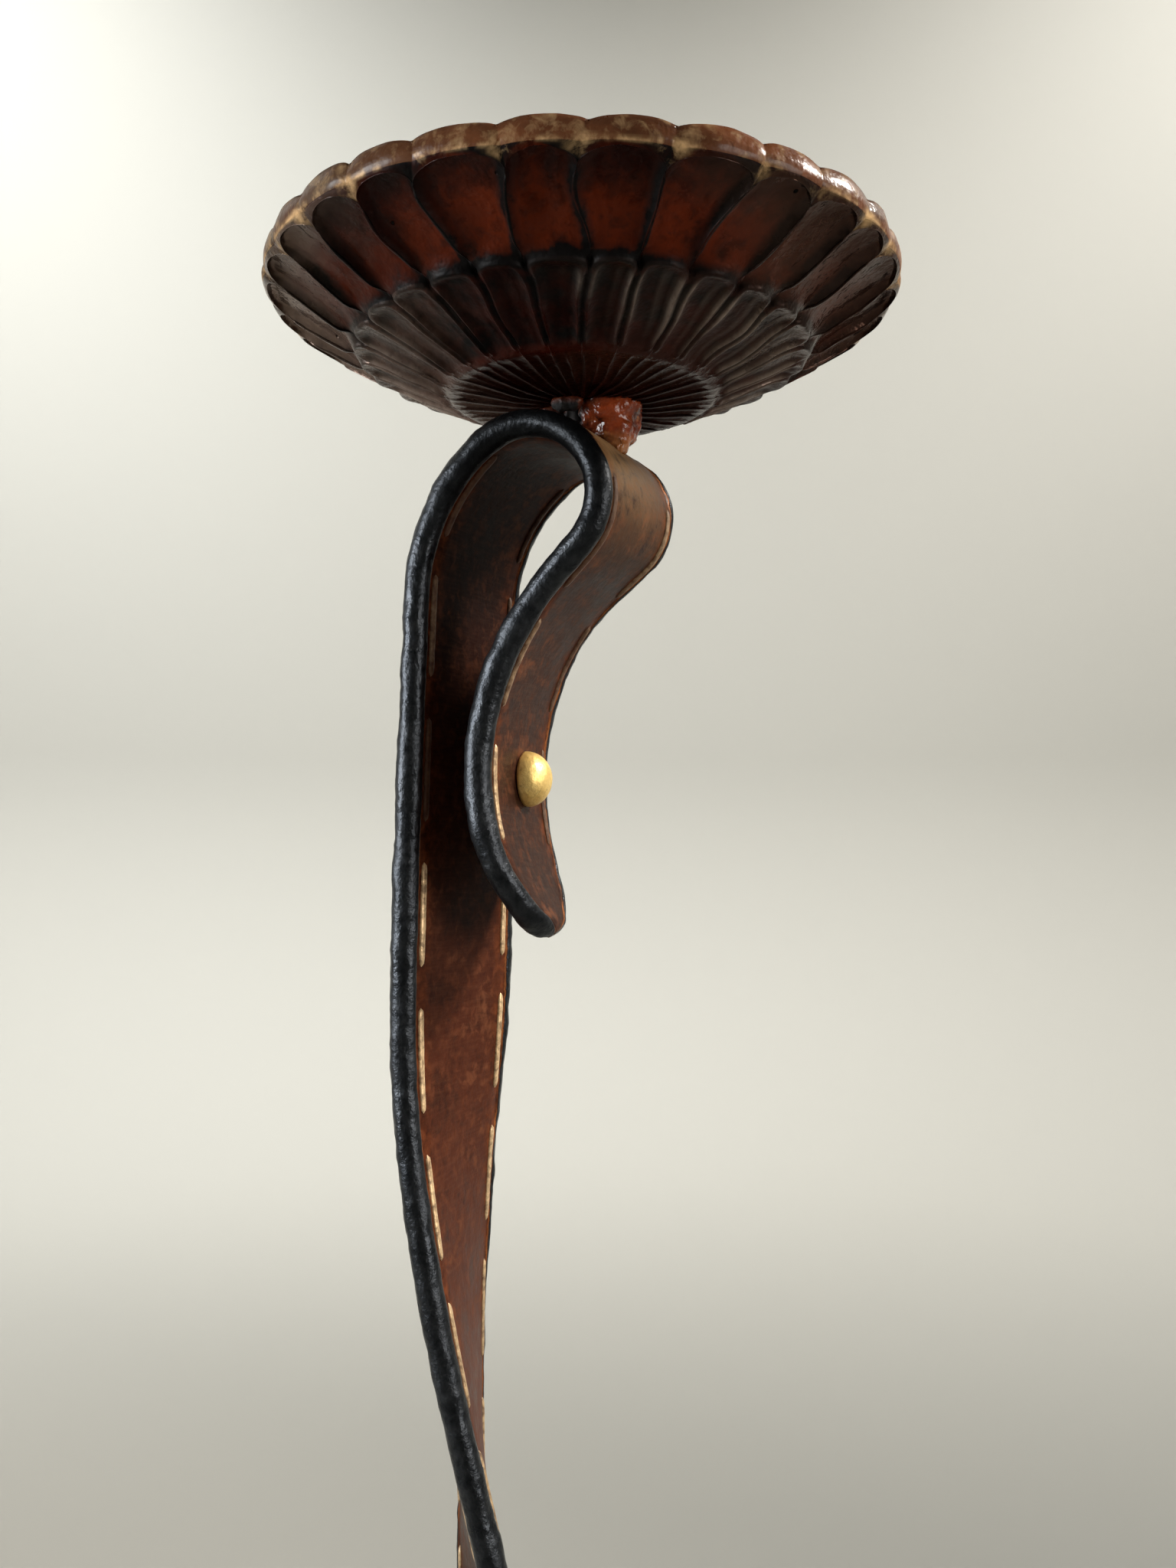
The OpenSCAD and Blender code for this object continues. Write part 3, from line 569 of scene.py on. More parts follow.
def petal_ring_tree():
    bench, given, result = shape_tree("Petal Ring", [
        ("Petals", INT, 28), ("Phase", FLOAT, 0.0), ("Wobble", FLOAT, 0.0002), ("Wobble Size", FLOAT, 0.02),
        ("Ripple", FLOAT, 0.0002), ("Ripple Size", FLOAT, 0.004), ("Sway", FLOAT, 0.05), ("Seed", INT, 1)])
    spots = bench.add("GeometryNodeMeshLine", {"Count": given["Petals"], "Offset": (0, 0, 0)})
    pitch = bench.sum("DIVIDE", 2 * math.pi, given["Petals"])
    middle = bench.sum("ADD", given["Phase"], bench.sum("MULTIPLY", pitch, 0.5))
    angle = bench.sum("MULTIPLY_ADD", bench.add("GeometryNodeInputIndex"), pitch, middle)
    turn = bench.add("FunctionNodeEulerToRotation", {0: bench.add("ShaderNodeCombineXYZ", {2: angle})})
    ring = bench.add("GeometryNodeInstanceOnPoints", {"Points": spots, "Instance": given["Shape"], "Rotation": turn})
    whole = bench.add("GeometryNodeRealizeInstances", {0: ring})
    whole = bench.add("GeometryNodeMergeByDistance", {0: whole, "Distance": 2e-6})

    def cloud(size, detail):
        return bench.add("ShaderNodeTexNoise", {
            "W": given["Seed"], "Scale": bench.sum("DIVIDE", 1.0, size), "Detail": detail}, noise_dimensions="4D")

    drift, ripple = cloud(given["Wobble Size"], 1.0), cloud(given["Ripple Size"], 1.5)
    push = bench.sum("MULTIPLY", bench.sum("SUBTRACT", drift, 0.8), given["Wobble"])
    push = bench.sum("MULTIPLY_ADD", bench.sum("SUBTRACT", ripple, 0.7), given["Ripple"], push)
    offset = bench.scaled(bench.add("GeometryNodeInputNormal"), push)
    turned_by = bench.sum("MULTIPLY", bench.sum("SUBTRACT", drift, 0.5), given["Sway"])
    place = bench.add("GeometryNodeInputPosition")
    swayed = bench.add("ShaderNodeVectorRotate", {"Vector": place, "Angle": turned_by}, rotation_type="Z_AXIS")
    whole = bench.add("GeometryNodeSetPosition", {0: whole, "Position": swayed, "Offset": offset})
    return close_tree(bench, given, result, whole)


PETAL_RING = petal_ring_tree()
print("tree", PETAL_RING.name)

# %% [markdown]
# ## The drip dish
# The underside is what the photograph shows, and the bowl's inside follows it at the wall's
# thickness in low swells. The strip is closed all round its profile, along the pricket's bore, so
# that the dish is one closed shell.

# %% The drip dish
CREST_Z = 391.3258
WEB = 4.7
JOINT_H = 4.2
DISH_BOTTOM = CREST_Z + WEB / 2 + JOINT_H
RIM_Z = DISH_BOTTOM + DISH["depth"]


def bowl_side(x):
    """Corner points of the bowl's inside, from the rim to the flat middle."""
    hollow = math.sqrt(max(0, 1 - x * x))
    rim, wall = DISH["rim"], DISH_WALL
    step_r, step_h = DISH["step"]
    ring_r, ring_h = DISH["ring"]
    return np.array([
        (rim - LIP_ROUND - 0.6, -DISH["scallop"] * hollow - 0.05),
        (rim - DISH_RIM_W, -DISH["scallop"] * hollow * 0.9),
        (rim - DISH_RIM_W - LIP_INSET, DISH_RIM_H),
        (mixed(rim - DISH_RIM_W, step_r, 0.5), mixed(DISH_RIM_H, step_h - wall, 0.55) - BOWL_SWELL * hollow),
        (step_r - LIP_INSET, step_h - wall - BOWL_SWELL * hollow),
        (ring_r, ring_h - wall),
        (DISH["flat"] + BOWL_HEEL, DISH["depth"] - wall),
        (SHANK_BORE_R, DISH["depth"] - wall)])


def drip_dish():
    lines, marks = [], []
    for x in ACROSS:
        show, mask = dressed(DISH, x)
        bowl, at = rounded(bowl_side(x), [2, 3, 6, 6, 6, 5, 6])
        near = np.array([SHANK_BORE_R, 6, 8, 10, 11.5])
        groove = 0.42 * math.sqrt(max(0, 1 - (2 * abs(x) - 1) ** 2)) * rise(near, 5, 9)
        bore = np.stack([near, DISH["depth"] - groove], 1)
        line = np.vstack([bore, show, bowl])
        line[:, 1] = RIM_Z - line[:, 1]
        lines.append(line)
        inside = dict(dark=0.35 * rise(at, 2, 4), warm=0.5 * rise(at, 2.5, 5), rim=1 - rise(at, 1.2, 2.4), glint=0 * at, crown=0 * at)
        heart = dict(dark=0.6 * rise(near, 5, 9), warm=0 * near, rim=0 * near, glint=0 * near, crown=0 * near)
        marks.append({key: np.concatenate([heart[key], mask[key], inside[key]]) for key in mask})
    piece = strip("drip_dish_casting", PETALS, lines, marks, closed=True)
    grow(piece, PETAL_RING, {
        "Petals": PETALS, "Phase": math.radians(DISH_PHASE), "Wobble": 0.7 * MM, "Wobble Size": 17 * MM,
        "Ripple": 0.6 * MM, "Ripple Size": 5.5 * MM, "Sway": 0.17, "Seed": 4, "Finish": DISH_LACQUER})
    held_in(piece, DISH["rim"])
    outward(piece)
    hand_over(piece, "dish_lacquer", "drip_dish")


drip_dish()

# %% [markdown]
# ## The foot
# The foot isn't in the photograph. It is the dish's form upside down: the same strip function, with
# wider petals and a hollow underneath that the felt pad closes.

# %% The foot
def foot():
    ceiling = FOOT["depth"] - FOOT_WALL
    hollow_side = np.array([
        (FOOT["rim"] - FOOT_RING_W, 0.0), (FOOT["step"][0] - FOOT_WALL, FOOT["step"][1] - FOOT_WALL),
        (FOOT["flat"] - FOOT_WALL / 2, ceiling), (0.0, ceiling)])
    lines, marks = [], []
    for x in ACROSS:
        show, mask = dressed(FOOT, x)
        top = np.array([(r, FOOT["depth"]) for r in np.linspace(0, FOOT["flat"], 16)[:-1]])
        under, at = rounded(hollow_side, [2, 2, 3])
        line = np.vstack([top, show, under])
        line[:, 1] += FELT
        lines.append(line)
        bare = np.zeros(len(top))
        plain = np.zeros(len(under))
        marks.append({key: np.concatenate([bare, mask[key], plain]) for key in mask})
    piece = strip("foot_casting", PETALS, lines, marks, closed=False)
    grow(piece, PETAL_RING, {
        "Petals": PETALS, "Wobble": 0.5 * MM, "Wobble Size": 20 * MM, "Ripple": 0.4 * MM, "Ripple Size": 5 * MM,
        "Sway": 0.06, "Seed": 9, "Finish": FOOT_LACQUER})
    held_in(piece, FOOT["rim"])
    outward(piece)
    hand_over(piece, "foot_lacquer", "foot")


foot()

# %% [markdown]
# ## Where the strap runs
# The strap's middle line is a chain of straight runs and tangent bends in one plane, as a smith
# bends it over mandrels, with a slow quarter turn in the stem. These are the CAD model's own values,
# so that studs, stitches and edges made here lie where the CAD pieces lie.

# %% Sizes of the strap
STRAP_W = 36
EDGE_T = 5.5
FACE_SINK = 0.4
EDGE_SLOPE = 1.1
TONGUE_LEN = 24
TONGUE_POWER = 1.8
HEEL_LEN = 36
HEEL_R = 9
SEAT_GAP = 0.05
CREST_BACK = 4.2
STEM_ASKEW = 4.3
TAIL_ASKEW = 10


def bend(radius, turn):
    return radius * abs(math.radians(turn)), math.radians(turn)


ROUTE = [(8, 0), bend(120, 8.2), (142.5, 0), bend(420, -9.8), (88.7, 0), bend(33.5, -53), bend(14.6, -108.5),
         bend(11, -66.5), (8, 0), bend(47.5, 56), bend(54, 29.5)]
CROWN = 6
CROWN_R = 14.6


def carried(place, length, turn):
    """The place (x, z, heading) after a run of that length that turns by that angle."""
    x, z, heading = place
    if turn == 0:
        return x + length * math.cos(heading), z + length * math.sin(heading), heading
    radius, end = length / turn, heading + turn
    return x + radius * (math.sin(end) - math.sin(heading)), z - radius * (math.cos(end) - math.cos(heading)), end


corners, reach = [(0.0, 0.0, math.pi / 2)], [0.0]
for length, turn in ROUTE:
    corners.append(carried(corners[-1], length, turn))
    reach.append(reach[-1] + length)
ROUTE_LEN = reach[-1]
CREST_L = reach[CROWN] + CROWN_R * corners[CROWN][2]
HEEL_ARC = HEEL_R * math.pi / 2
HEEL_END = -HEEL_ARC - HEEL_LEN
print("strap", round(ROUTE_LEN - HEEL_END, 1), "mm long, crest at", round(CREST_L, 1))

# %% The strap's frame at any length
def place_at(length):
    k = max(i for i in range(len(ROUTE)) if i == 0 or reach[i] <= length)
    whole, turn = ROUTE[k]
    return carried(corners[k], length - reach[k], turn * (length - reach[k]) / whole)


SEAT_Z = FELT + FOOT["depth"]
HEEL_Z = SEAT_Z + EDGE_T / 2 + SEAT_GAP
ROUTE_X = -CREST_BACK - place_at(CREST_L)[0]
ROUTE_Z = HEEL_Z + HEEL_R


def eased(t, share=0.16):
    """A ramp from 0 to 1 that starts and ends gently."""
    u = min(1, max(0, t))
    full = 2 * share * (1 - share)
    if u < share:
        return u * u / full
    return 1 - (1 - u) ** 2 / full if u > 1 - share else (u - share / 2) / (1 - share)


def turn_at(length):
    """Turn of the strap about its own length, in degrees."""
    if length < CREST_L:
        twist = 90 - (90 + STEM_ASKEW) * eased((length - 25) / 233)
        return twist + STEM_ASKEW * float(rise(length, CREST_L - 84, CREST_L))
    return -TAIL_ASKEW * float(rise(length, CREST_L, CREST_L + 60))


def strap_frame(length):
    """Middle, width direction and inner normal of the strap at that length."""
    if length < 0:
        b = max(0.0, math.pi / 2 + length / HEEL_R)
        flat = max(0.0, -HEEL_ARC - length)
        middle = (ROUTE_X, -HEEL_R * (1 - math.sin(b)) - flat, HEEL_Z + HEEL_R * (1 - math.cos(b)))
        return np.array(middle), np.array([-1.0, 0, 0]), np.array([0, math.sin(b), -math.cos(b)])
    x, z, heading = place_at(length)
    twist = math.radians(turn_at(length))
    inward = np.array([math.sin(heading), 0, -math.cos(heading)])
    across = math.cos(twist) * np.array([0, 1.0, 0]) - math.sin(twist) * inward
    normal = math.cos(twist) * inward + math.sin(twist) * np.array([0, 1.0, 0])
    return np.array([ROUTE_X + x, 0, ROUTE_Z + z]), across, normal


def half_width(length):
    rest = max(0.0, min(length - HEEL_END, ROUTE_LEN - length))
    if rest >= TONGUE_LEN:
        return STRAP_W / 2
    return STRAP_W / 2 * math.sqrt(max(0.0, 1 - (1 - rest / TONGUE_LEN) ** TONGUE_POWER))


print("crest at", np.round(strap_frame(CREST_L)[0], 2), "tip at", np.round(strap_frame(ROUTE_LEN)[0], 2))

# %% [markdown]
# ## The strap
# The strap is one section swept along that route, so Geometry Nodes make it: a grid is laid with one
# row for each station of the route and one column for each point of the section, and every grid
# point is sent to its place. A curve with a profile would be shorter to write, but the tongue narrows
# without getting thinner, which a curve's radius can't do. The rolled edges are then hammered by a
# noise that only they feel.

# %% The route and the section as helper objects
def stations():
    """Lengths at which the strap has a section, closer together towards the tips."""
    tip = TONGUE_LEN * (np.arange(0, 26) / 26) ** 2
    body = np.linspace(HEEL_END + TONGUE_LEN, ROUTE_LEN - TONGUE_LEN, 440)
    return np.concatenate([HEEL_END + tip, body, (ROUTE_LEN - tip)[::-1]])


def route_piece():
    lengths = stations()
    frames = [strap_frame(v) for v in lengths]
    rest = np.minimum(lengths - HEEL_END, ROUTE_LEN - lengths)
    near = np.clip(1 - rest / (EDGE_T / 2), 0, 1)
    piece = mesh_piece("route", [f[0] for f in frames], [], [(i, i + 1) for i in range(len(lengths) - 1)])
    note(piece, "across", [f[1] for f in frames], "FLOAT_VECTOR")
    note(piece, "inner", [f[2] for f in frames], "FLOAT_VECTOR")
    note(piece, "half", [half_width(v) * MM for v in lengths])
    note(piece, "swell", np.sqrt(np.clip(1 - near**2, 0, 1)))
    note(piece, "along", lengths * MM)
    return piece


def section_piece():
    """Points round the section: which edge they follow, how far off it they lie, and what they are."""
    radius, face = EDGE_T / 2, EDGE_T / 2 - FACE_SINK
    right = [(1, 0, radius * math.cos(a), radius * math.sin(a), 1.0 if abs(a) < 1.35 else 0.8)
             for a in np.linspace(-math.pi / 2, math.pi / 2, 13)]
    lip = [(1, 0.45, 0, face + 0.24, 0.45), (1, 0.8, 0, face - 0.06, 0.2)]
    shares = np.linspace(1, -1, 11)
    top = [(s, 1, 0, face + 0.1 * (1 - s * s), 0.0) for s in shares]
    half = right + lip + top + [(-s, sl, dx, dy, e) for s, sl, dx, dy, e in lip[::-1]]
    other = [(-s, sl, -dx, -dy, e) for s, sl, dx, dy, e in half]
    whole = half + other
    piece = mesh_piece("section", [(0, 0, 0)] * len(whole), [])
    for k, name in enumerate(("share", "sloped", "out", "up", "edge")):
        scale = MM if name in ("out", "up") else 1
        note(piece, name, [p[k] * scale for p in whole])
    return piece


# %% The sweep
def sweep_tree():
    bench, given, result = shape_tree("Strap Sweep", [
        ("Section", "NodeSocketObject", None), ("Edge Radius", FLOAT, 0.00275), ("Edge Slope", FLOAT, 0.0011),
        ("Hammer Depth", FLOAT, 0.0004), ("Hammer Size", FLOAT, 0.004), ("Wave Depth", FLOAT, 0.0004),
        ("Wave Size", FLOAT, 0.012), ("Seed", INT, 1)])
    route = given["Shape"]
    section = bench.add("GeometryNodeObjectInfo", {0: given["Section"]}, out="Geometry")
    rows = bench.add("GeometryNodeAttributeDomainSize", {0: route}, component="MESH")
    spots = bench.add("GeometryNodeAttributeDomainSize", {0: section}, component="MESH")
    columns = bench.add("FunctionNodeIntegerMath", {0: spots, 1: 1}, operation="ADD")
    grid = bench.add("GeometryNodeMeshGrid", {"Vertices X": rows, "Vertices Y": columns})
    index = bench.add("GeometryNodeInputIndex")
    row = bench.add("FunctionNodeIntegerMath", {0: index, 1: columns}, operation="DIVIDE_FLOOR")
    column = bench.add("FunctionNodeIntegerMath", {0: index, 1: columns}, operation="MODULO")
    column = bench.add("FunctionNodeIntegerMath", {0: column, 1: spots}, operation="MODULO")

    def taken(shape, name, at, kind="FLOAT"):
        value = bench.add("GeometryNodeInputNamedAttribute", {0: name}, data_type=kind)
        return bench.add("GeometryNodeSampleIndex", {0: shape, "Value": value, "Index": at}, data_type=kind)

    middle = bench.add("GeometryNodeSampleIndex", {
        0: route, "Value": bench.add("GeometryNodeInputPosition"), "Index": row}, data_type="FLOAT_VECTOR")
    swell, half = taken(route, "swell", row), taken(route, "half", row)
    share, sloped = taken(section, "share", column), taken(section, "sloped", column)
    roll = bench.sum("MULTIPLY", given["Edge Radius"], swell)
    edge_line = bench.sum("MAXIMUM", bench.sum("SUBTRACT", half, roll), 0.0)
    slope = bench.sum("MINIMUM", given["Edge Slope"], bench.sum("MULTIPLY", edge_line, 0.9))
    inward = bench.sum("MULTIPLY", sloped, slope)
    wide = bench.sum("MULTIPLY", share, bench.sum("SUBTRACT", edge_line, inward))
    wide = bench.sum("MULTIPLY_ADD", taken(section, "out", column), swell, wide)
    high = bench.sum("MULTIPLY", taken(section, "up", column), swell)
    spot = bench.vector("ADD", middle, bench.scaled(taken(route, "across", row, "FLOAT_VECTOR"), wide))
    spot = bench.vector("ADD", spot, bench.scaled(taken(route, "inner", row, "FLOAT_VECTOR"), high))

    shape = grid
    for name, value in (("edge", taken(section, "edge", column)), ("along", taken(route, "along", row)),
                        ("wide", wide), ("high", high)):
        shape = bench.add("GeometryNodeStoreNamedAttribute", {0: shape, "Name": name, "Value": value})
    shape = bench.add("GeometryNodeSetPosition", {0: shape, "Position": spot})
    shape = bench.add("GeometryNodeMergeByDistance", {0: shape, "Distance": 2e-6})
    blows = bench.add("ShaderNodeTexNoise", {
        "W": given["Seed"], "Scale": bench.sum("DIVIDE", 1.0, given["Hammer Size"]), "Detail": 2.5,
        "Roughness": 0.55}, noise_dimensions="4D")
    on_edge = bench.add("GeometryNodeInputNamedAttribute", {0: "edge"})
    felt = bench.sum("MULTIPLY_ADD", on_edge, 0.88, 0.12)
    waves = bench.add("ShaderNodeTexNoise", {
        "W": given["Seed"], "Scale": bench.sum("DIVIDE", 1.0, given["Wave Size"]), "Detail": 1.0},
        noise_dimensions="4D")
    push = bench.sum("MULTIPLY", bench.sum("SUBTRACT", blows, 0.56), given["Hammer Depth"])
    push = bench.sum("MULTIPLY_ADD", bench.sum("SUBTRACT", waves, 0.56), given["Wave Depth"], push)
    offset = bench.scaled(bench.add("GeometryNodeInputNormal"), bench.sum("MULTIPLY", push, felt))
    shape = bench.add("GeometryNodeSetPosition", {0: shape, "Offset": offset})
    return close_tree(bench, given, result, shape)


SWEEP = sweep_tree()
print("tree", SWEEP.name)

# %% [markdown]
# ## The strap's paint
# The faces are painted like old leather: red brown, mottled, with rusty flecks and faint brush marks
# across the width. The rolled edges are black and half matt, with small dents that catch the light,
# and a thin rubbed line of gilt shows where black meets brown. The mesh says how near a point is to
# the edge, and the noise frays that border. The inner face is painted darker up towards the loop and
# the black edge darker on the crest: painted shade where the loop, the tail and the dish shadow them.

# %% The paint
def strap_paint():
    finish = Finish("strap_paint", Specular_IOR_Level=0.06)
    edge, along, wide, high = [finish.mark(name) for name in ("edge", "along", "wide", "high")]
    broad = finish.group(MOTTLE, Patch_Size=0.013, Spread=0.18)
    fine = finish.group(MOTTLE, Patch_Size=0.0024, Spread=0.16, Offset=0.7)
    # Painted shade: the inner face is darker up near the loop, where the loop and the tail shadow the stem, and lighter
    # lower down.
    lower = finish.between(along, 0.325, 0.235)
    inner = finish.blend(lower, colour(30, 12, 7), colour(70, 34, 20))
    inner = finish.blend(finish.sum("MULTIPLY", broad, 0.5), inner, colour(62, 26, 14))
    outer = finish.blend(broad, colour(36, 19, 13), colour(52, 29, 20))
    crest = finish.sum("MULTIPLY", finish.between(along, CREST_L * MM + 0.036, CREST_L * MM + 0.014), finish.between(
        along, CREST_L * MM - 0.03, CREST_L * MM - 0.01))
    outer = finish.blend(finish.sum("MULTIPLY", crest, finish.between(broad, 0.0, 1.0, 0.5, 1.0)), outer, colour(96, 70, 47))
    spill = finish.sum("MULTIPLY", finish.between(wide, 0.01, -0.012), finish.between(
        along, CREST_L * MM + 0.026, CREST_L * MM + 0.008))
    spill = finish.sum("MULTIPLY", spill, finish.between(along, CREST_L * MM, CREST_L * MM + 0.006))
    outer = finish.blend(finish.sum("MULTIPLY", spill, finish.between(fine, 0.0, 1.0, 0.3, 1.0)), outer, colour(186, 148, 100))
    brown = finish.blend(finish.between(high, -0.001, 0.001), outer, inner)
    blotch = finish.sum("MULTIPLY_ADD", fine, 0.3, broad)
    brown = finish.blend(finish.between(blotch, 0.5, 0.15, 0.0, 0.6), brown, colour(36, 17, 11))
    brown = finish.blend(finish.between(blotch, 0.85, 1.25, 0.0, 0.5), brown, colour(122, 76, 50))
    brown = finish.blend(finish.between(fine, 0.5, 1.0, 0.0, 0.3), brown, colour(110, 62, 38))
    brown = finish.blend(finish.between(fine, 0.3, 0.0, 0.0, 0.4), brown, colour(34, 15, 10))
    cloth = finish.add("ShaderNodeCombineXYZ", {
        0: finish.sum("MULTIPLY", along, 1600.0), 1: finish.sum("MULTIPLY", wide, 170.0)})
    brush = finish.add("ShaderNodeTexNoise", {"Vector": cloth, "Scale": 1.0, "Detail": 4.0, "Roughness": 0.6})
    brown = finish.blend(finish.between(brush, 0.45, 0.75, 0.0, 0.16), brown, colour(112, 72, 48))
    seam = finish.sum("MULTIPLY", finish.between(finish.sum("ABSOLUTE", wide), 0.0095, 0.0125), finish.between(
        broad, 0.1, 0.8, 0.15, 0.6))
    brown = finish.blend(seam, brown, finish.blend(fine, colour(40, 16, 8), colour(112, 56, 26)))
    frayed = finish.sum("ADD", edge, finish.between(fine, 0.0, 1.0, -0.12, 0.12))
    black = finish.between(frayed, 0.4, 0.54)
    line = finish.sum("MULTIPLY", finish.between(frayed, 0.2, 0.3), finish.between(frayed, 0.5, 0.4))
    line = finish.sum("MULTIPLY", line, finish.between(broad, 0.35, 0.8, 0.08, 0.9))
    iron = finish.blend(fine, colour(38, 40, 43), colour(58, 60, 63))
    # Painted shade: the black edge is darker on the crest, under the dish.
    iron = finish.blend(finish.sum("MULTIPLY", crest, 0.8), iron, colour(22, 23, 24))
    ground = finish.blend(black, brown, iron)
    ground = finish.blend(line, ground, colour(150, 92, 52))
    finish.feed("Base Color", ground)
    finish.feed("Metallic", finish.sum("MAXIMUM", finish.sum("MULTIPLY", black, 0.9), finish.sum("MULTIPLY", line, 0.3)))
    gloss = finish.between(finish.sum("MULTIPLY_ADD", fine, 0.5, broad), 0.0, 1.5, 0.28, 0.56)
    finish.feed("Roughness", finish.sum("MULTIPLY", gloss, finish.between(black, 0.0, 1.0, 1.0, 0.86)))
    felt = finish.sum("MULTIPLY", finish.group(DENTS, Dent_Size=0.0016, Fineness=0.6), finish.between(black, 0.0, 1.0, 0.3, 1.0))
    dents = finish.bump(felt, 0.25)
    skin = finish.bump(brush, 0.012, dents)
    finish.feed("Normal", skin)
    return finish.material


STRAP_PAINT = strap_paint()
print("paint", STRAP_PAINT.name)

# %% Sweep the strap
def strap():
    piece, section = route_piece(), section_piece()
    grow(piece, SWEEP, {
        "Section": section, "Edge Radius": EDGE_T / 2 * MM, "Edge Slope": EDGE_SLOPE * MM,
        "Hammer Depth": 0.9 * MM, "Hammer Size": 3.4 * MM, "Wave Depth": 1.1 * MM, "Wave Size": 11 * MM,
        "Seed": 3, "Finish": STRAP_PAINT})
    drop(section)
    piece.name = "belt_strap"
    outward(piece)
    hand_over(piece, "strap_paint", "strap")


strap()

# %% [markdown]
# ## The stitches
# The stitches are raised gilt dashes in rows along both edges of both faces. Each is a short line on
# the face, and Geometry Nodes sweep a low, round profile along it that swells from nothing at the
# ends. The line carries the face's direction, so that a dash stays flat where the strap turns.

# %% The gilt
def gilt(name):
    finish = Finish(name, Specular_IOR_Level=0.25)
    worn = finish.group(MOTTLE, Patch_Size=0.0016, Spread=0.18, Offset=1.1)
    # The stitches' brightness is partly gilt left and partly painted light: dim in shade, bright where light catches
    # them.
    kept = finish.sum("MULTIPLY", finish.mark("kept"), finish.between(worn, 0.1, 0.75, 0.25, 1.0))
    tone = finish.blend(kept, colour(60, 28, 16), colour(236, 202, 156))
    finish.feed("Base Color", tone)
    finish.feed("Metallic", finish.sum("MULTIPLY", kept, 0.45))
    finish.feed("Roughness", finish.between(kept, 0.0, 0.6, 0.6, 0.36))
    finish.feed("Normal", finish.bump(finish.group(DENTS, Dent_Size=0.0011, Fineness=0.5), 0.12))
    return finish.material


# %% Lines for the stitches
STITCH_LEN = 19.8
STITCH_GAP = 7.7
STITCH_W = 1.6
STITCH_H = 0.5
STITCH_INSET = 4.8
STITCH_FIRST = 19.8
STITCH_BACK = 8.6
STITCH_FREE = 0.6 * TONGUE_LEN
PITCH = STITCH_LEN + STITCH_GAP


def stitch_starts(low, high):
    """Lengths at which stitches start, on both sides of the loop's crest."""
    tail = np.arange(CREST_L + STITCH_FIRST, high - STITCH_LEN, PITCH)
    stem = np.arange(CREST_L - STITCH_BACK - STITCH_LEN, low, -PITCH)
    return list(tail) + list(stem)


def stitch_gilt_and_light(length, row, side):
    """How bright a stitch's gilt is painted: partly gilt left, partly painted light, dim up the stem in the loop's
    shade and bright on the lower stem and beside the stud.
    """
    if length < CREST_L:
        below = CREST_L - length
        return 0.06 + float(0.9 * rise(below, 82, 92) - 0.35 * rise(below, 150, 190) + 0.12 * hump(below, 46, 10))
    past = length - CREST_L
    if side < 0 and row < 0:
        return 0.08 + 0.2 * float(rise(past, 44, 50)) + 0.5 * float(rise(past, 70, 76))
    return 0.1 + 0.25 * float(hump(past, 28, 8))


def stitch_lines(name, low, high, side):
    points, edges, normals, kept = [], [], [], []
    for start in stitch_starts(low, high):
        for row in (-1, 1):
            for k, length in enumerate(np.linspace(start, start + STITCH_LEN, 34)):
                middle, across, inner = strap_frame(length)
                out = half_width(length) - STITCH_INSET
                if k:
                    edges.append((len(points) - 1, len(points)))
                points.append(middle + across * row * out + inner * side * (WEB / 2))
                normals.append(inner * side)
                kept.append(stitch_gilt_and_light(length, row, side))
    piece = mesh_piece(name, points, [], edges)
    note(piece, "raised", normals, "FLOAT_VECTOR")
    note(piece, "kept", kept)
    return piece


def stitch_tree():
    bench, given, result = shape_tree("Gilt Stitches", [
        ("Width", FLOAT, 0.0016), ("Height", FLOAT, 0.0005), ("Unevenness", FLOAT, 0.2), ("Seed", INT, 1)])
    line = bench.add("GeometryNodeMeshToCurve", {0: given["Shape"]})
    raised = bench.add("GeometryNodeInputNamedAttribute", {0: "raised"}, data_type="FLOAT_VECTOR")
    line = bench.add("GeometryNodeSetCurveNormal", {0: line, "Normal": raised}, mode="FREE")
    run = bench.add("GeometryNodeSplineParameter", out="Factor")
    from_middle = bench.sum("ABSOLUTE", bench.sum("MULTIPLY_ADD", run, 2.0, -1.0))
    swell = bench.sum("SQRT", bench.sum("SUBTRACT", 1.0, bench.sum("POWER", from_middle, 14.0)))
    uneven = bench.add("ShaderNodeTexNoise", {"W": given["Seed"], "Scale": 450.0}, noise_dimensions="4D")
    uneven = bench.sum("MULTIPLY_ADD", bench.sum("SUBTRACT", uneven, 0.5), given["Unevenness"], 1.0)
    swell = bench.sum("MAXIMUM", bench.sum("MULTIPLY", swell, uneven), 0.02)
    ring = bench.add("GeometryNodeCurvePrimitiveCircle", {"Resolution": 12, "Radius": 1.0})
    flat = bench.add("ShaderNodeCombineXYZ", {
        0: given["Height"], 1: bench.sum("MULTIPLY", given["Width"], 0.5), 2: 1.0})
    ring = bench.add("GeometryNodeTransform", {0: ring, "Scale": flat})
    bars = bench.add("GeometryNodeCurveToMesh", {
        "Curve": line, "Profile Curve": ring, "Scale": swell, "Fill Caps": True})
    return close_tree(bench, given, result, bars)


STITCHES = stitch_tree()
print("tree", STITCHES.name)

# %% Lay the stitches
def stitches(name, node, slot, side, low, seed):
    piece = stitch_lines(name, low, ROUTE_LEN - STITCH_FREE, side)
    grow(piece, STITCHES, {
        "Width": STITCH_W * MM, "Height": STITCH_H * MM, "Unevenness": 0.35, "Seed": seed, "Finish": gilt(slot)})
    outward(piece)
    hand_over(piece, slot, node)


stitches("outer_stitch_rows", "outer_stitches", "gilt_outer", -1, HEEL_END + STITCH_FREE, 5)
stitches("inner_stitch_rows", "inner_stitches", "gilt_inner", 1, 0, 6)

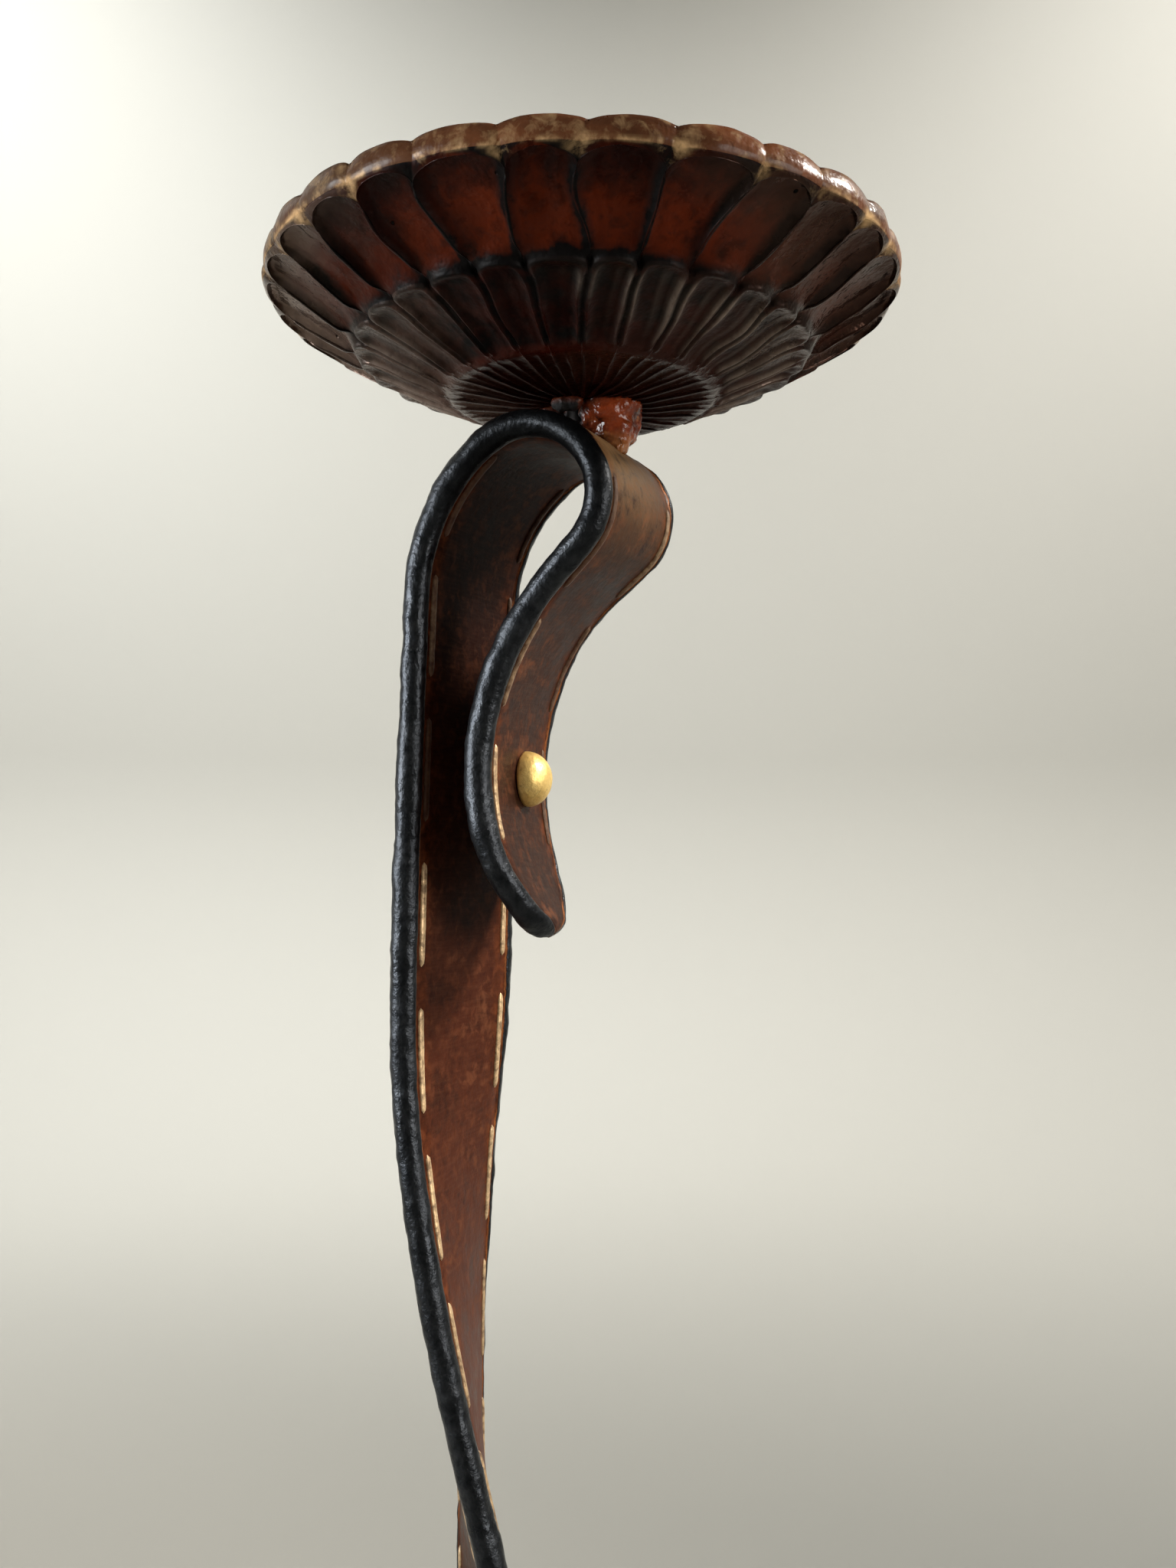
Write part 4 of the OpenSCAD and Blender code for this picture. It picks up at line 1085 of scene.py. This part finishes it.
# %% [markdown]
# ## Turned pieces
# Studs and felt are round, so one function turns a profile about an axis. A stud's head is
# a soft dome with a thin skirt, and it is dented a little by noise, because real ones are beaten
# home with a mallet.

# %% The lathe
def turned(name, profile, sides=64):
    """A closed solid of revolution about Z from a profile of radius and height that starts on the axis."""
    rings = profile[1:-1]
    points = [(0, 0, profile[0][1])]
    for r, z in rings:
        points += [(r * math.cos(a), r * math.sin(a), z) for a in 2 * math.pi * np.arange(sides) / sides]
    points.append((0, 0, profile[-1][1]))
    last = len(points) - 1
    faces = [(0, 1 + j, 1 + (j + 1) % sides) for j in range(sides)]
    for i in range(len(rings) - 1):
        for j in range(sides):
            a, b = 1 + i * sides + j, 1 + i * sides + (j + 1) % sides
            faces.append((a, b, b + sides, a + sides))
    faces += [(last, last - sides + (j + 1) % sides, last - sides + j) for j in range(sides)]
    piece = mesh_piece(name, points, faces)
    outward(piece)
    return piece


def dome_profile(width, height, low):
    """From the shank's end at height low up to a dome with a thin skirt at 0."""
    radius, shank = width / 2, width * 0.2
    crown = [(radius * math.cos(a), height * 0.12 + height * 0.88 * math.sin(a)) for a in np.linspace(0, math.pi / 2, 14)]
    skirt = [(radius * 0.97, 0.0), (radius * 1.0, height * 0.05)]
    return [(0, low), (shank, low), (shank, 0)] + skirt + crown[:-1] + [(0, height)]


# %% Studs at their places
def stud_tree():
    bench, given, result = shape_tree("Studs At Places", [
        ("Stud", "NodeSocketObject", None), ("Dent Depth", FLOAT, 0.0002), ("Dent Size", FLOAT, 0.003), ("Seed", INT, 1)])
    stud = bench.add("GeometryNodeObjectInfo", {0: given["Stud"]}, out="Geometry")
    facing = bench.add("GeometryNodeInputNamedAttribute", {0: "raised"}, data_type="FLOAT_VECTOR")
    turn = bench.add("FunctionNodeAlignRotationToVector", {"Vector": facing}, axis="Z")
    studs = bench.add("GeometryNodeInstanceOnPoints", {
        "Points": given["Shape"], "Instance": stud, "Rotation": turn})
    studs = bench.add("GeometryNodeRealizeInstances", {0: studs})
    dent = bench.add("ShaderNodeTexNoise", {
        "W": given["Seed"], "Scale": bench.sum("DIVIDE", 1.0, given["Dent Size"])}, noise_dimensions="4D")
    push = bench.sum("MULTIPLY", bench.sum("SUBTRACT", dent, 0.6), given["Dent Depth"])
    studs = bench.add("GeometryNodeSetPosition", {
        0: studs, "Offset": bench.scaled(bench.add("GeometryNodeInputNormal"), push)})
    return close_tree(bench, given, result, studs)


STUDS = stud_tree()


def brass(name):
    finish = Finish(name)
    worn = finish.group(MOTTLE, Patch_Size=0.0045, Spread=0.2, Offset=2.3)
    fine = finish.group(MOTTLE, Patch_Size=0.0009, Spread=0.2, Offset=0.2)
    tone = finish.blend(worn, colour(214, 172, 92), colour(255, 224, 146))
    tone = finish.blend(finish.between(fine, 0.6, 1.0, 0.0, 0.4), tone, colour(104, 76, 40))
    finish.feed("Base Color", tone)
    finish.feed("Metallic", finish.between(worn, 0.0, 1.0, 0.5, 0.8))
    finish.feed("Roughness", finish.between(fine, 0.0, 1.0, 0.4, 0.56))
    finish.feed("Normal", finish.bump(finish.group(DENTS, Dent_Size=0.0014, Fineness=0.6), 0.16))
    return finish.material


print("tree", STUDS.name)

# %% Set the studs
STUD_D = 11
STUD_H = 5.2
STUD_UP = 32.3
STUD_OFF = 3
FOOT_STUD_D = 10
FOOT_STUD_H = 4.6
FOOT_STUD_UP = 14
FOOT_STUD_PITCH = 15
SHANK_LOW = SEAT_Z - FOOT_WALL - 6.6


def studs(name, node, slot, spots, facings, width, height, low, seed):
    head = turned("stud_pattern", dome_profile(width, height, low))
    piece = mesh_piece(name, spots, [])
    note(piece, "raised", facings, "FLOAT_VECTOR")
    grow(piece, STUDS, {
        "Stud": head, "Dent Depth": 0.35 * MM, "Dent Size": 3.4 * MM, "Seed": seed, "Finish": brass(slot)})
    drop(head)
    outward(piece)
    hand_over(piece, slot, node)


tail_middle, tail_across, tail_inner = strap_frame(ROUTE_LEN - STUD_UP)
tail_seat = SEAT_GAP + STUD_D**2 / (8 * 54)
tail_spot = tail_middle + tail_across * STUD_OFF - tail_inner * (WEB / 2 + tail_seat)
studs("tail_dome_stud", "tail_stud", "tail_brass", [tail_spot], [-tail_inner], STUD_D, STUD_H, -WEB - 1.2, 2)

heel_face = HEEL_Z + WEB / 2 + SEAT_GAP
heel_spots = [strap_frame(HEEL_END + FOOT_STUD_UP + k * FOOT_STUD_PITCH)[0] for k in range(2)]
heel_spots = [(x, y, heel_face) for x, y, z in heel_spots]
studs("foot_dome_studs", "foot_studs", "foot_brass", heel_spots, [(0, 0, 1)] * 2, FOOT_STUD_D, FOOT_STUD_H,
      SHANK_LOW - heel_face, 7)

# %% [markdown]
# ## The brazed joint
# Where the loop's crest meets the dish, filler was puddled on in lumps, which ran down the loop's
# front and froze. Lumps like that have no rule, so a handful of balls of filler are fused by a voxel
# remesh, smoothed until they flow into each other, and roughened. The lacquer on them is thick, red
# and very glossy.

# %% The filler's finish
HOLE_SHADE_SIDE = (0.891, 0.454, 0)


def filler():
    finish = Finish("braze", Specular_IOR_Level=0.3, Coat_Roughness=0.08)
    broad = finish.group(MOTTLE, Patch_Size=0.005, Spread=0.16)
    fine = finish.group(MOTTLE, Patch_Size=0.0016, Spread=0.2, Offset=0.5)
    place = finish.add("ShaderNodeTexCoord", out="Object")
    height = finish.add("ShaderNodeSeparateXYZ", {0: place}, out=2)
    across = finish.add("ShaderNodeVectorMath", {0: place, 1: HOLE_SHADE_SIDE}, out="Value", operation="DOT_PRODUCT")
    # Painted shade: on the left of the joint the lumps are painted near black and rough, as a shaded hole in the
    # filler.
    painted_hole_shade = finish.between(finish.sum("MULTIPLY_ADD", fine, 0.0012, across), 0.0012, -0.0002)
    painted_hole_shade = finish.sum("MULTIPLY", painted_hole_shade, finish.between(height, 0.3985, 0.3968, 0.35, 1.0))
    run_out = finish.sum("MULTIPLY", finish.between(height, 0.3925, 0.3895), finish.between(fine, 0.0, 1.0, 0.5, 1.0))
    tone = finish.blend(broad, colour(52, 17, 9), colour(146, 62, 30))
    tone = finish.blend(run_out, tone, colour(160, 106, 62))
    tone = finish.blend(finish.between(fine, 0.7, 1.0, 0.0, 0.6), tone, colour(166, 104, 62))
    tone = finish.blend(painted_hole_shade, tone, colour(12, 9, 8))
    finish.feed("Roughness", finish.between(painted_hole_shade, 0.0, 1.0, 0.17, 0.7))
    finish.feed("Coat Weight", finish.between(painted_hole_shade, 0.0, 1.0, 0.15, 0.0))
    finish.feed("Base Color", tone)
    finish.feed("Normal", finish.bump(finish.group(DENTS, Dent_Size=0.0016, Fineness=0.45), 0.5))
    return finish.material


# %% The filler's lumps
LUMPS = [(4.3, 2.4, 397.8, 6.4), (3.8, 2.6, 395.2, 5.2), (5.4, 2.0, 393.6, 4.6), (6.2, 1.2, 391.9, 3.5),
         (6.9, 0.4, 390.4, 2.5), (7.3, -0.3, 389.3, 1.7), (-1.5, 3.0, 396.8, 4.6), (-5.0, 4.5, 397.0, 3.2),
         (-6.2, -1.0, 397.2, 2.6), (-1.0, -6.6, 397.3, 1.7), (1.0, -5.4, 397.6, 1.6), (7.4, 4.6, 394.4, 2.6)]


def joint():
    work = bmesh.new()
    for x, y, z, r in LUMPS:
        ball = bmesh.ops.create_icosphere(work, subdivisions=4, radius=r * MM)["verts"]
        bmesh.ops.translate(work, verts=ball, vec=(x * MM, y * MM, z * MM))
    mesh = bpy.data.meshes.new("brazed_lumps")
    work.to_mesh(mesh)
    work.free()
    piece = bpy.data.objects.new("brazed_lumps", mesh)
    bpy.context.scene.collection.objects.link(piece)
    fuse = piece.modifiers.new("fuse", "REMESH")
    fuse.mode = "VOXEL"
    fuse.voxel_size = 0.35 * MM
    flow = piece.modifiers.new("flow", "SMOOTH")
    flow.factor = 0.6
    flow.iterations = 16
    bpy.context.view_layer.update()
    piece.data = bpy.data.meshes.new_from_object(piece.evaluated_get(bpy.context.evaluated_depsgraph_get()))
    piece.modifiers.clear()
    top = (DISH_BOTTOM + 0.6) * MM
    for point in piece.data.vertices:
        lumpy = 0.8 * noise.noise(point.co * 360) + 0.35 * noise.noise(point.co * 850)
        point.co += point.normal * lumpy * MM
        point.co.z = min(point.co.z, top)
    piece.data.materials.append(filler())
    outward(piece)
    hand_over(piece, "braze", "brazed_joint")


joint()

# %% [markdown]
# ## The pricket, the fixings and the felt
# The pricket, the washers and the nuts are plain turned pieces, which the CAD model already has
# right, so they stay and only get a finish. The felt's outline is right as well, but felt has a soft
# edge and a nap, so it is turned again with a round edge and a fibre bump.

# %% Steel for what stays
def steel(name, tone, roughness, shaded_below=-1.0):
    finish = Finish(name, Metallic=0.9, Roughness=roughness)
    worn = finish.group(MOTTLE, Patch_Size=0.004, Spread=0.2, Offset=1.7)
    height = finish.add("ShaderNodeSeparateXYZ", {0: finish.add("ShaderNodeTexCoord", out="Object")}, out=2)
    ground = finish.blend(worn, colour(*tone), colour(*[v * 0.72 for v in tone]))
    # Painted shade: below that height the steel is painted near black, where it stands in the shaded gap inside the
    # joint.
    shaded = finish.between(height, shaded_below + 0.5 * MM, shaded_below - 0.5 * MM)
    finish.feed("Base Color", finish.blend(shaded, ground, colour(9, 7, 6)))
    finish.feed("Roughness", finish.between(worn, 0.0, 1.0, roughness, roughness + 0.15))
    finish.feed("Normal", finish.bump(finish.group(DENTS, Dent_Size=0.0014, Fineness=0.5), 0.06))
    return finish.material


def dress(node, material):
    """Gives a CAD node that stays its finish."""
    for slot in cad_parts[node].material_slots:
        slot.material = material
    print(node, "keeps its CAD shape in", material.name)


dress("pricket", steel("pricket_steel", (104, 98, 92), 0.36, shaded_below=0.3985))
dress("foot_washers", steel("washer_steel", (168, 168, 164), 0.3))
dress("foot_nuts", steel("nut_steel", (162, 162, 158), 0.3))

# %% The felt pad
def felt_pad():
    finish = Finish("felt", Roughness=0.95, Sheen_Weight=0.6, Sheen_Roughness=0.5)
    fibres = finish.group(DENTS, Dent_Size=0.0007, Fineness=0.8)
    cloud = finish.group(MOTTLE, Patch_Size=0.006, Spread=0.25)
    finish.feed("Base Color", finish.blend(cloud, colour(30, 46, 36), colour(44, 62, 50)))
    finish.feed("Normal", finish.bump(fibres, 0.25))
    radius, thick, soft = FOOT["rim"] - 1.5, FELT - SEAT_GAP, 0.6
    edge = [(radius - soft + soft * math.cos(a), thick / 2 + (thick / 2) * math.sin(a))
            for a in np.linspace(-math.pi / 2, math.pi / 2, 9)]
    flat = [radius * k / 8 for k in range(1, 8)]
    profile = [(0, 0)] + [(r, 0) for r in flat] + edge + [(r, thick) for r in flat[::-1]] + [(0, thick)]
    piece = turned("felt_disc", profile, sides=160)
    piece.data.materials.append(finish.material)
    hand_over(piece, "felt", "felt_pad")


felt_pad()

# %% [markdown]
# ## Stage and light
# The room is a pale, plain backdrop that runs from the floor up into a wall all round, so that every
# view has a background. The light is soft: a broad one from the upper left in front, which gives the
# black edges their grey sheen, a smaller one from the right for the glints on the rim, and a faint
# even light from the room.

# %% The backdrop
FLOOR_R = 900
WALL_R = 1300
WALL_H = 2600


def backdrop():
    turn = [(FLOOR_R + (WALL_R - FLOOR_R) * math.sin(a), (WALL_R - FLOOR_R) * (1 - math.cos(a)))
            for a in np.linspace(0, math.pi / 2, 16)]
    profile = [(0, 0), (FLOOR_R / 2, 0)] + turn + [(WALL_R, WALL_H)]
    sides = 96
    points = [(0, 0, 0)]
    for r, z in profile[1:]:
        points += [(r * math.cos(a), r * math.sin(a), z) for a in 2 * math.pi * np.arange(sides) / sides]
    faces = [(0, 1 + j, 1 + (j + 1) % sides) for j in range(sides)]
    for i in range(len(profile) - 2):
        for j in range(sides):
            a, b = 1 + i * sides + j, 1 + i * sides + (j + 1) % sides
            faces.append((a, a + sides, b + sides, b))
    piece = mesh_piece("backdrop", points, faces)
    for face in piece.data.polygons:
        face.use_smooth = True
    finish = Finish("backdrop_paint", Roughness=0.9)
    finish.shader.inputs["Base Color"].default_value = colour(186, 184, 177)
    piece.data.materials.append(finish.material)


backdrop()


def soft_light(name, place, aim, size, power, tint, spread=180):
    light = bpy.data.lights.new(name, "AREA")
    light.shape, light.size, light.size_y = "RECTANGLE", size[0], size[1]
    light.energy, light.color, light.spread = power, tint, math.radians(spread)
    lamp = bpy.data.objects.new(name, light)
    away = np.array(place, float) - np.array(aim, float)
    lamp.location = place
    lamp.rotation_euler = (
        math.atan2(math.hypot(away[0], away[1]), away[2]), 0, math.atan2(away[1], away[0]) + math.pi / 2)
    bpy.context.scene.collection.objects.link(lamp)


BACK = np.array([-math.sin(CAMERA_TURN), math.cos(CAMERA_TURN), 0])
SIDE = np.array([math.cos(CAMERA_TURN), math.sin(CAMERA_TURN), 0])
UP = np.array([0, 0, 1.0])
ROOM_TINT = (1.0, 0.99, 0.96)
soft_light("wall_left", BACK * 0.35 - SIDE * 0.75 + UP * 1.7, BACK * 1.25 - SIDE * 0.75 + UP * 0.6, (0.9, 0.5), 12, (0.98, 1.0, 1.0), 92)
soft_light("wall_right", BACK * 0.35 + SIDE * 0.75 + UP * 1.7, BACK * 1.25 + SIDE * 0.75 + UP * 0.6, (0.9, 0.5), 8.5, ROOM_TINT, 92)
soft_light("key", BACK * -0.3 - SIDE * 0.95 + UP * 0.44, UP * 0.34, (0.5, 0.5), 1.45, (0.95, 0.98, 1.0), 46)
soft_light("floor_wash", BACK * 1.0 + UP * 1.5, BACK * 0.7, (1.4, 0.8), 2.2, ROOM_TINT, 75)
soft_light("glint", BACK * 0.1 + SIDE * 0.75 + UP * 0.95, UP * 0.42, (0.12, 0.2), 1.1, (1.0, 0.95, 0.88), 50)
soft_light("fill", BACK * -0.5 + SIDE * 0.8 + UP * 0.4, UP * 0.31, (0.6, 0.5), 0.66, (1.0, 0.97, 0.92), 50)

world = bpy.data.worlds.new("room")
world.use_nodes = True
world.node_tree.nodes["Background"].inputs[0].default_value = (0.9, 0.92, 0.95, 1.0)
world.node_tree.nodes["Background"].inputs[1].default_value = 0.05
bpy.context.scene.world = world
bpy.context.scene.view_settings.view_transform = "Standard"
print("stage set")
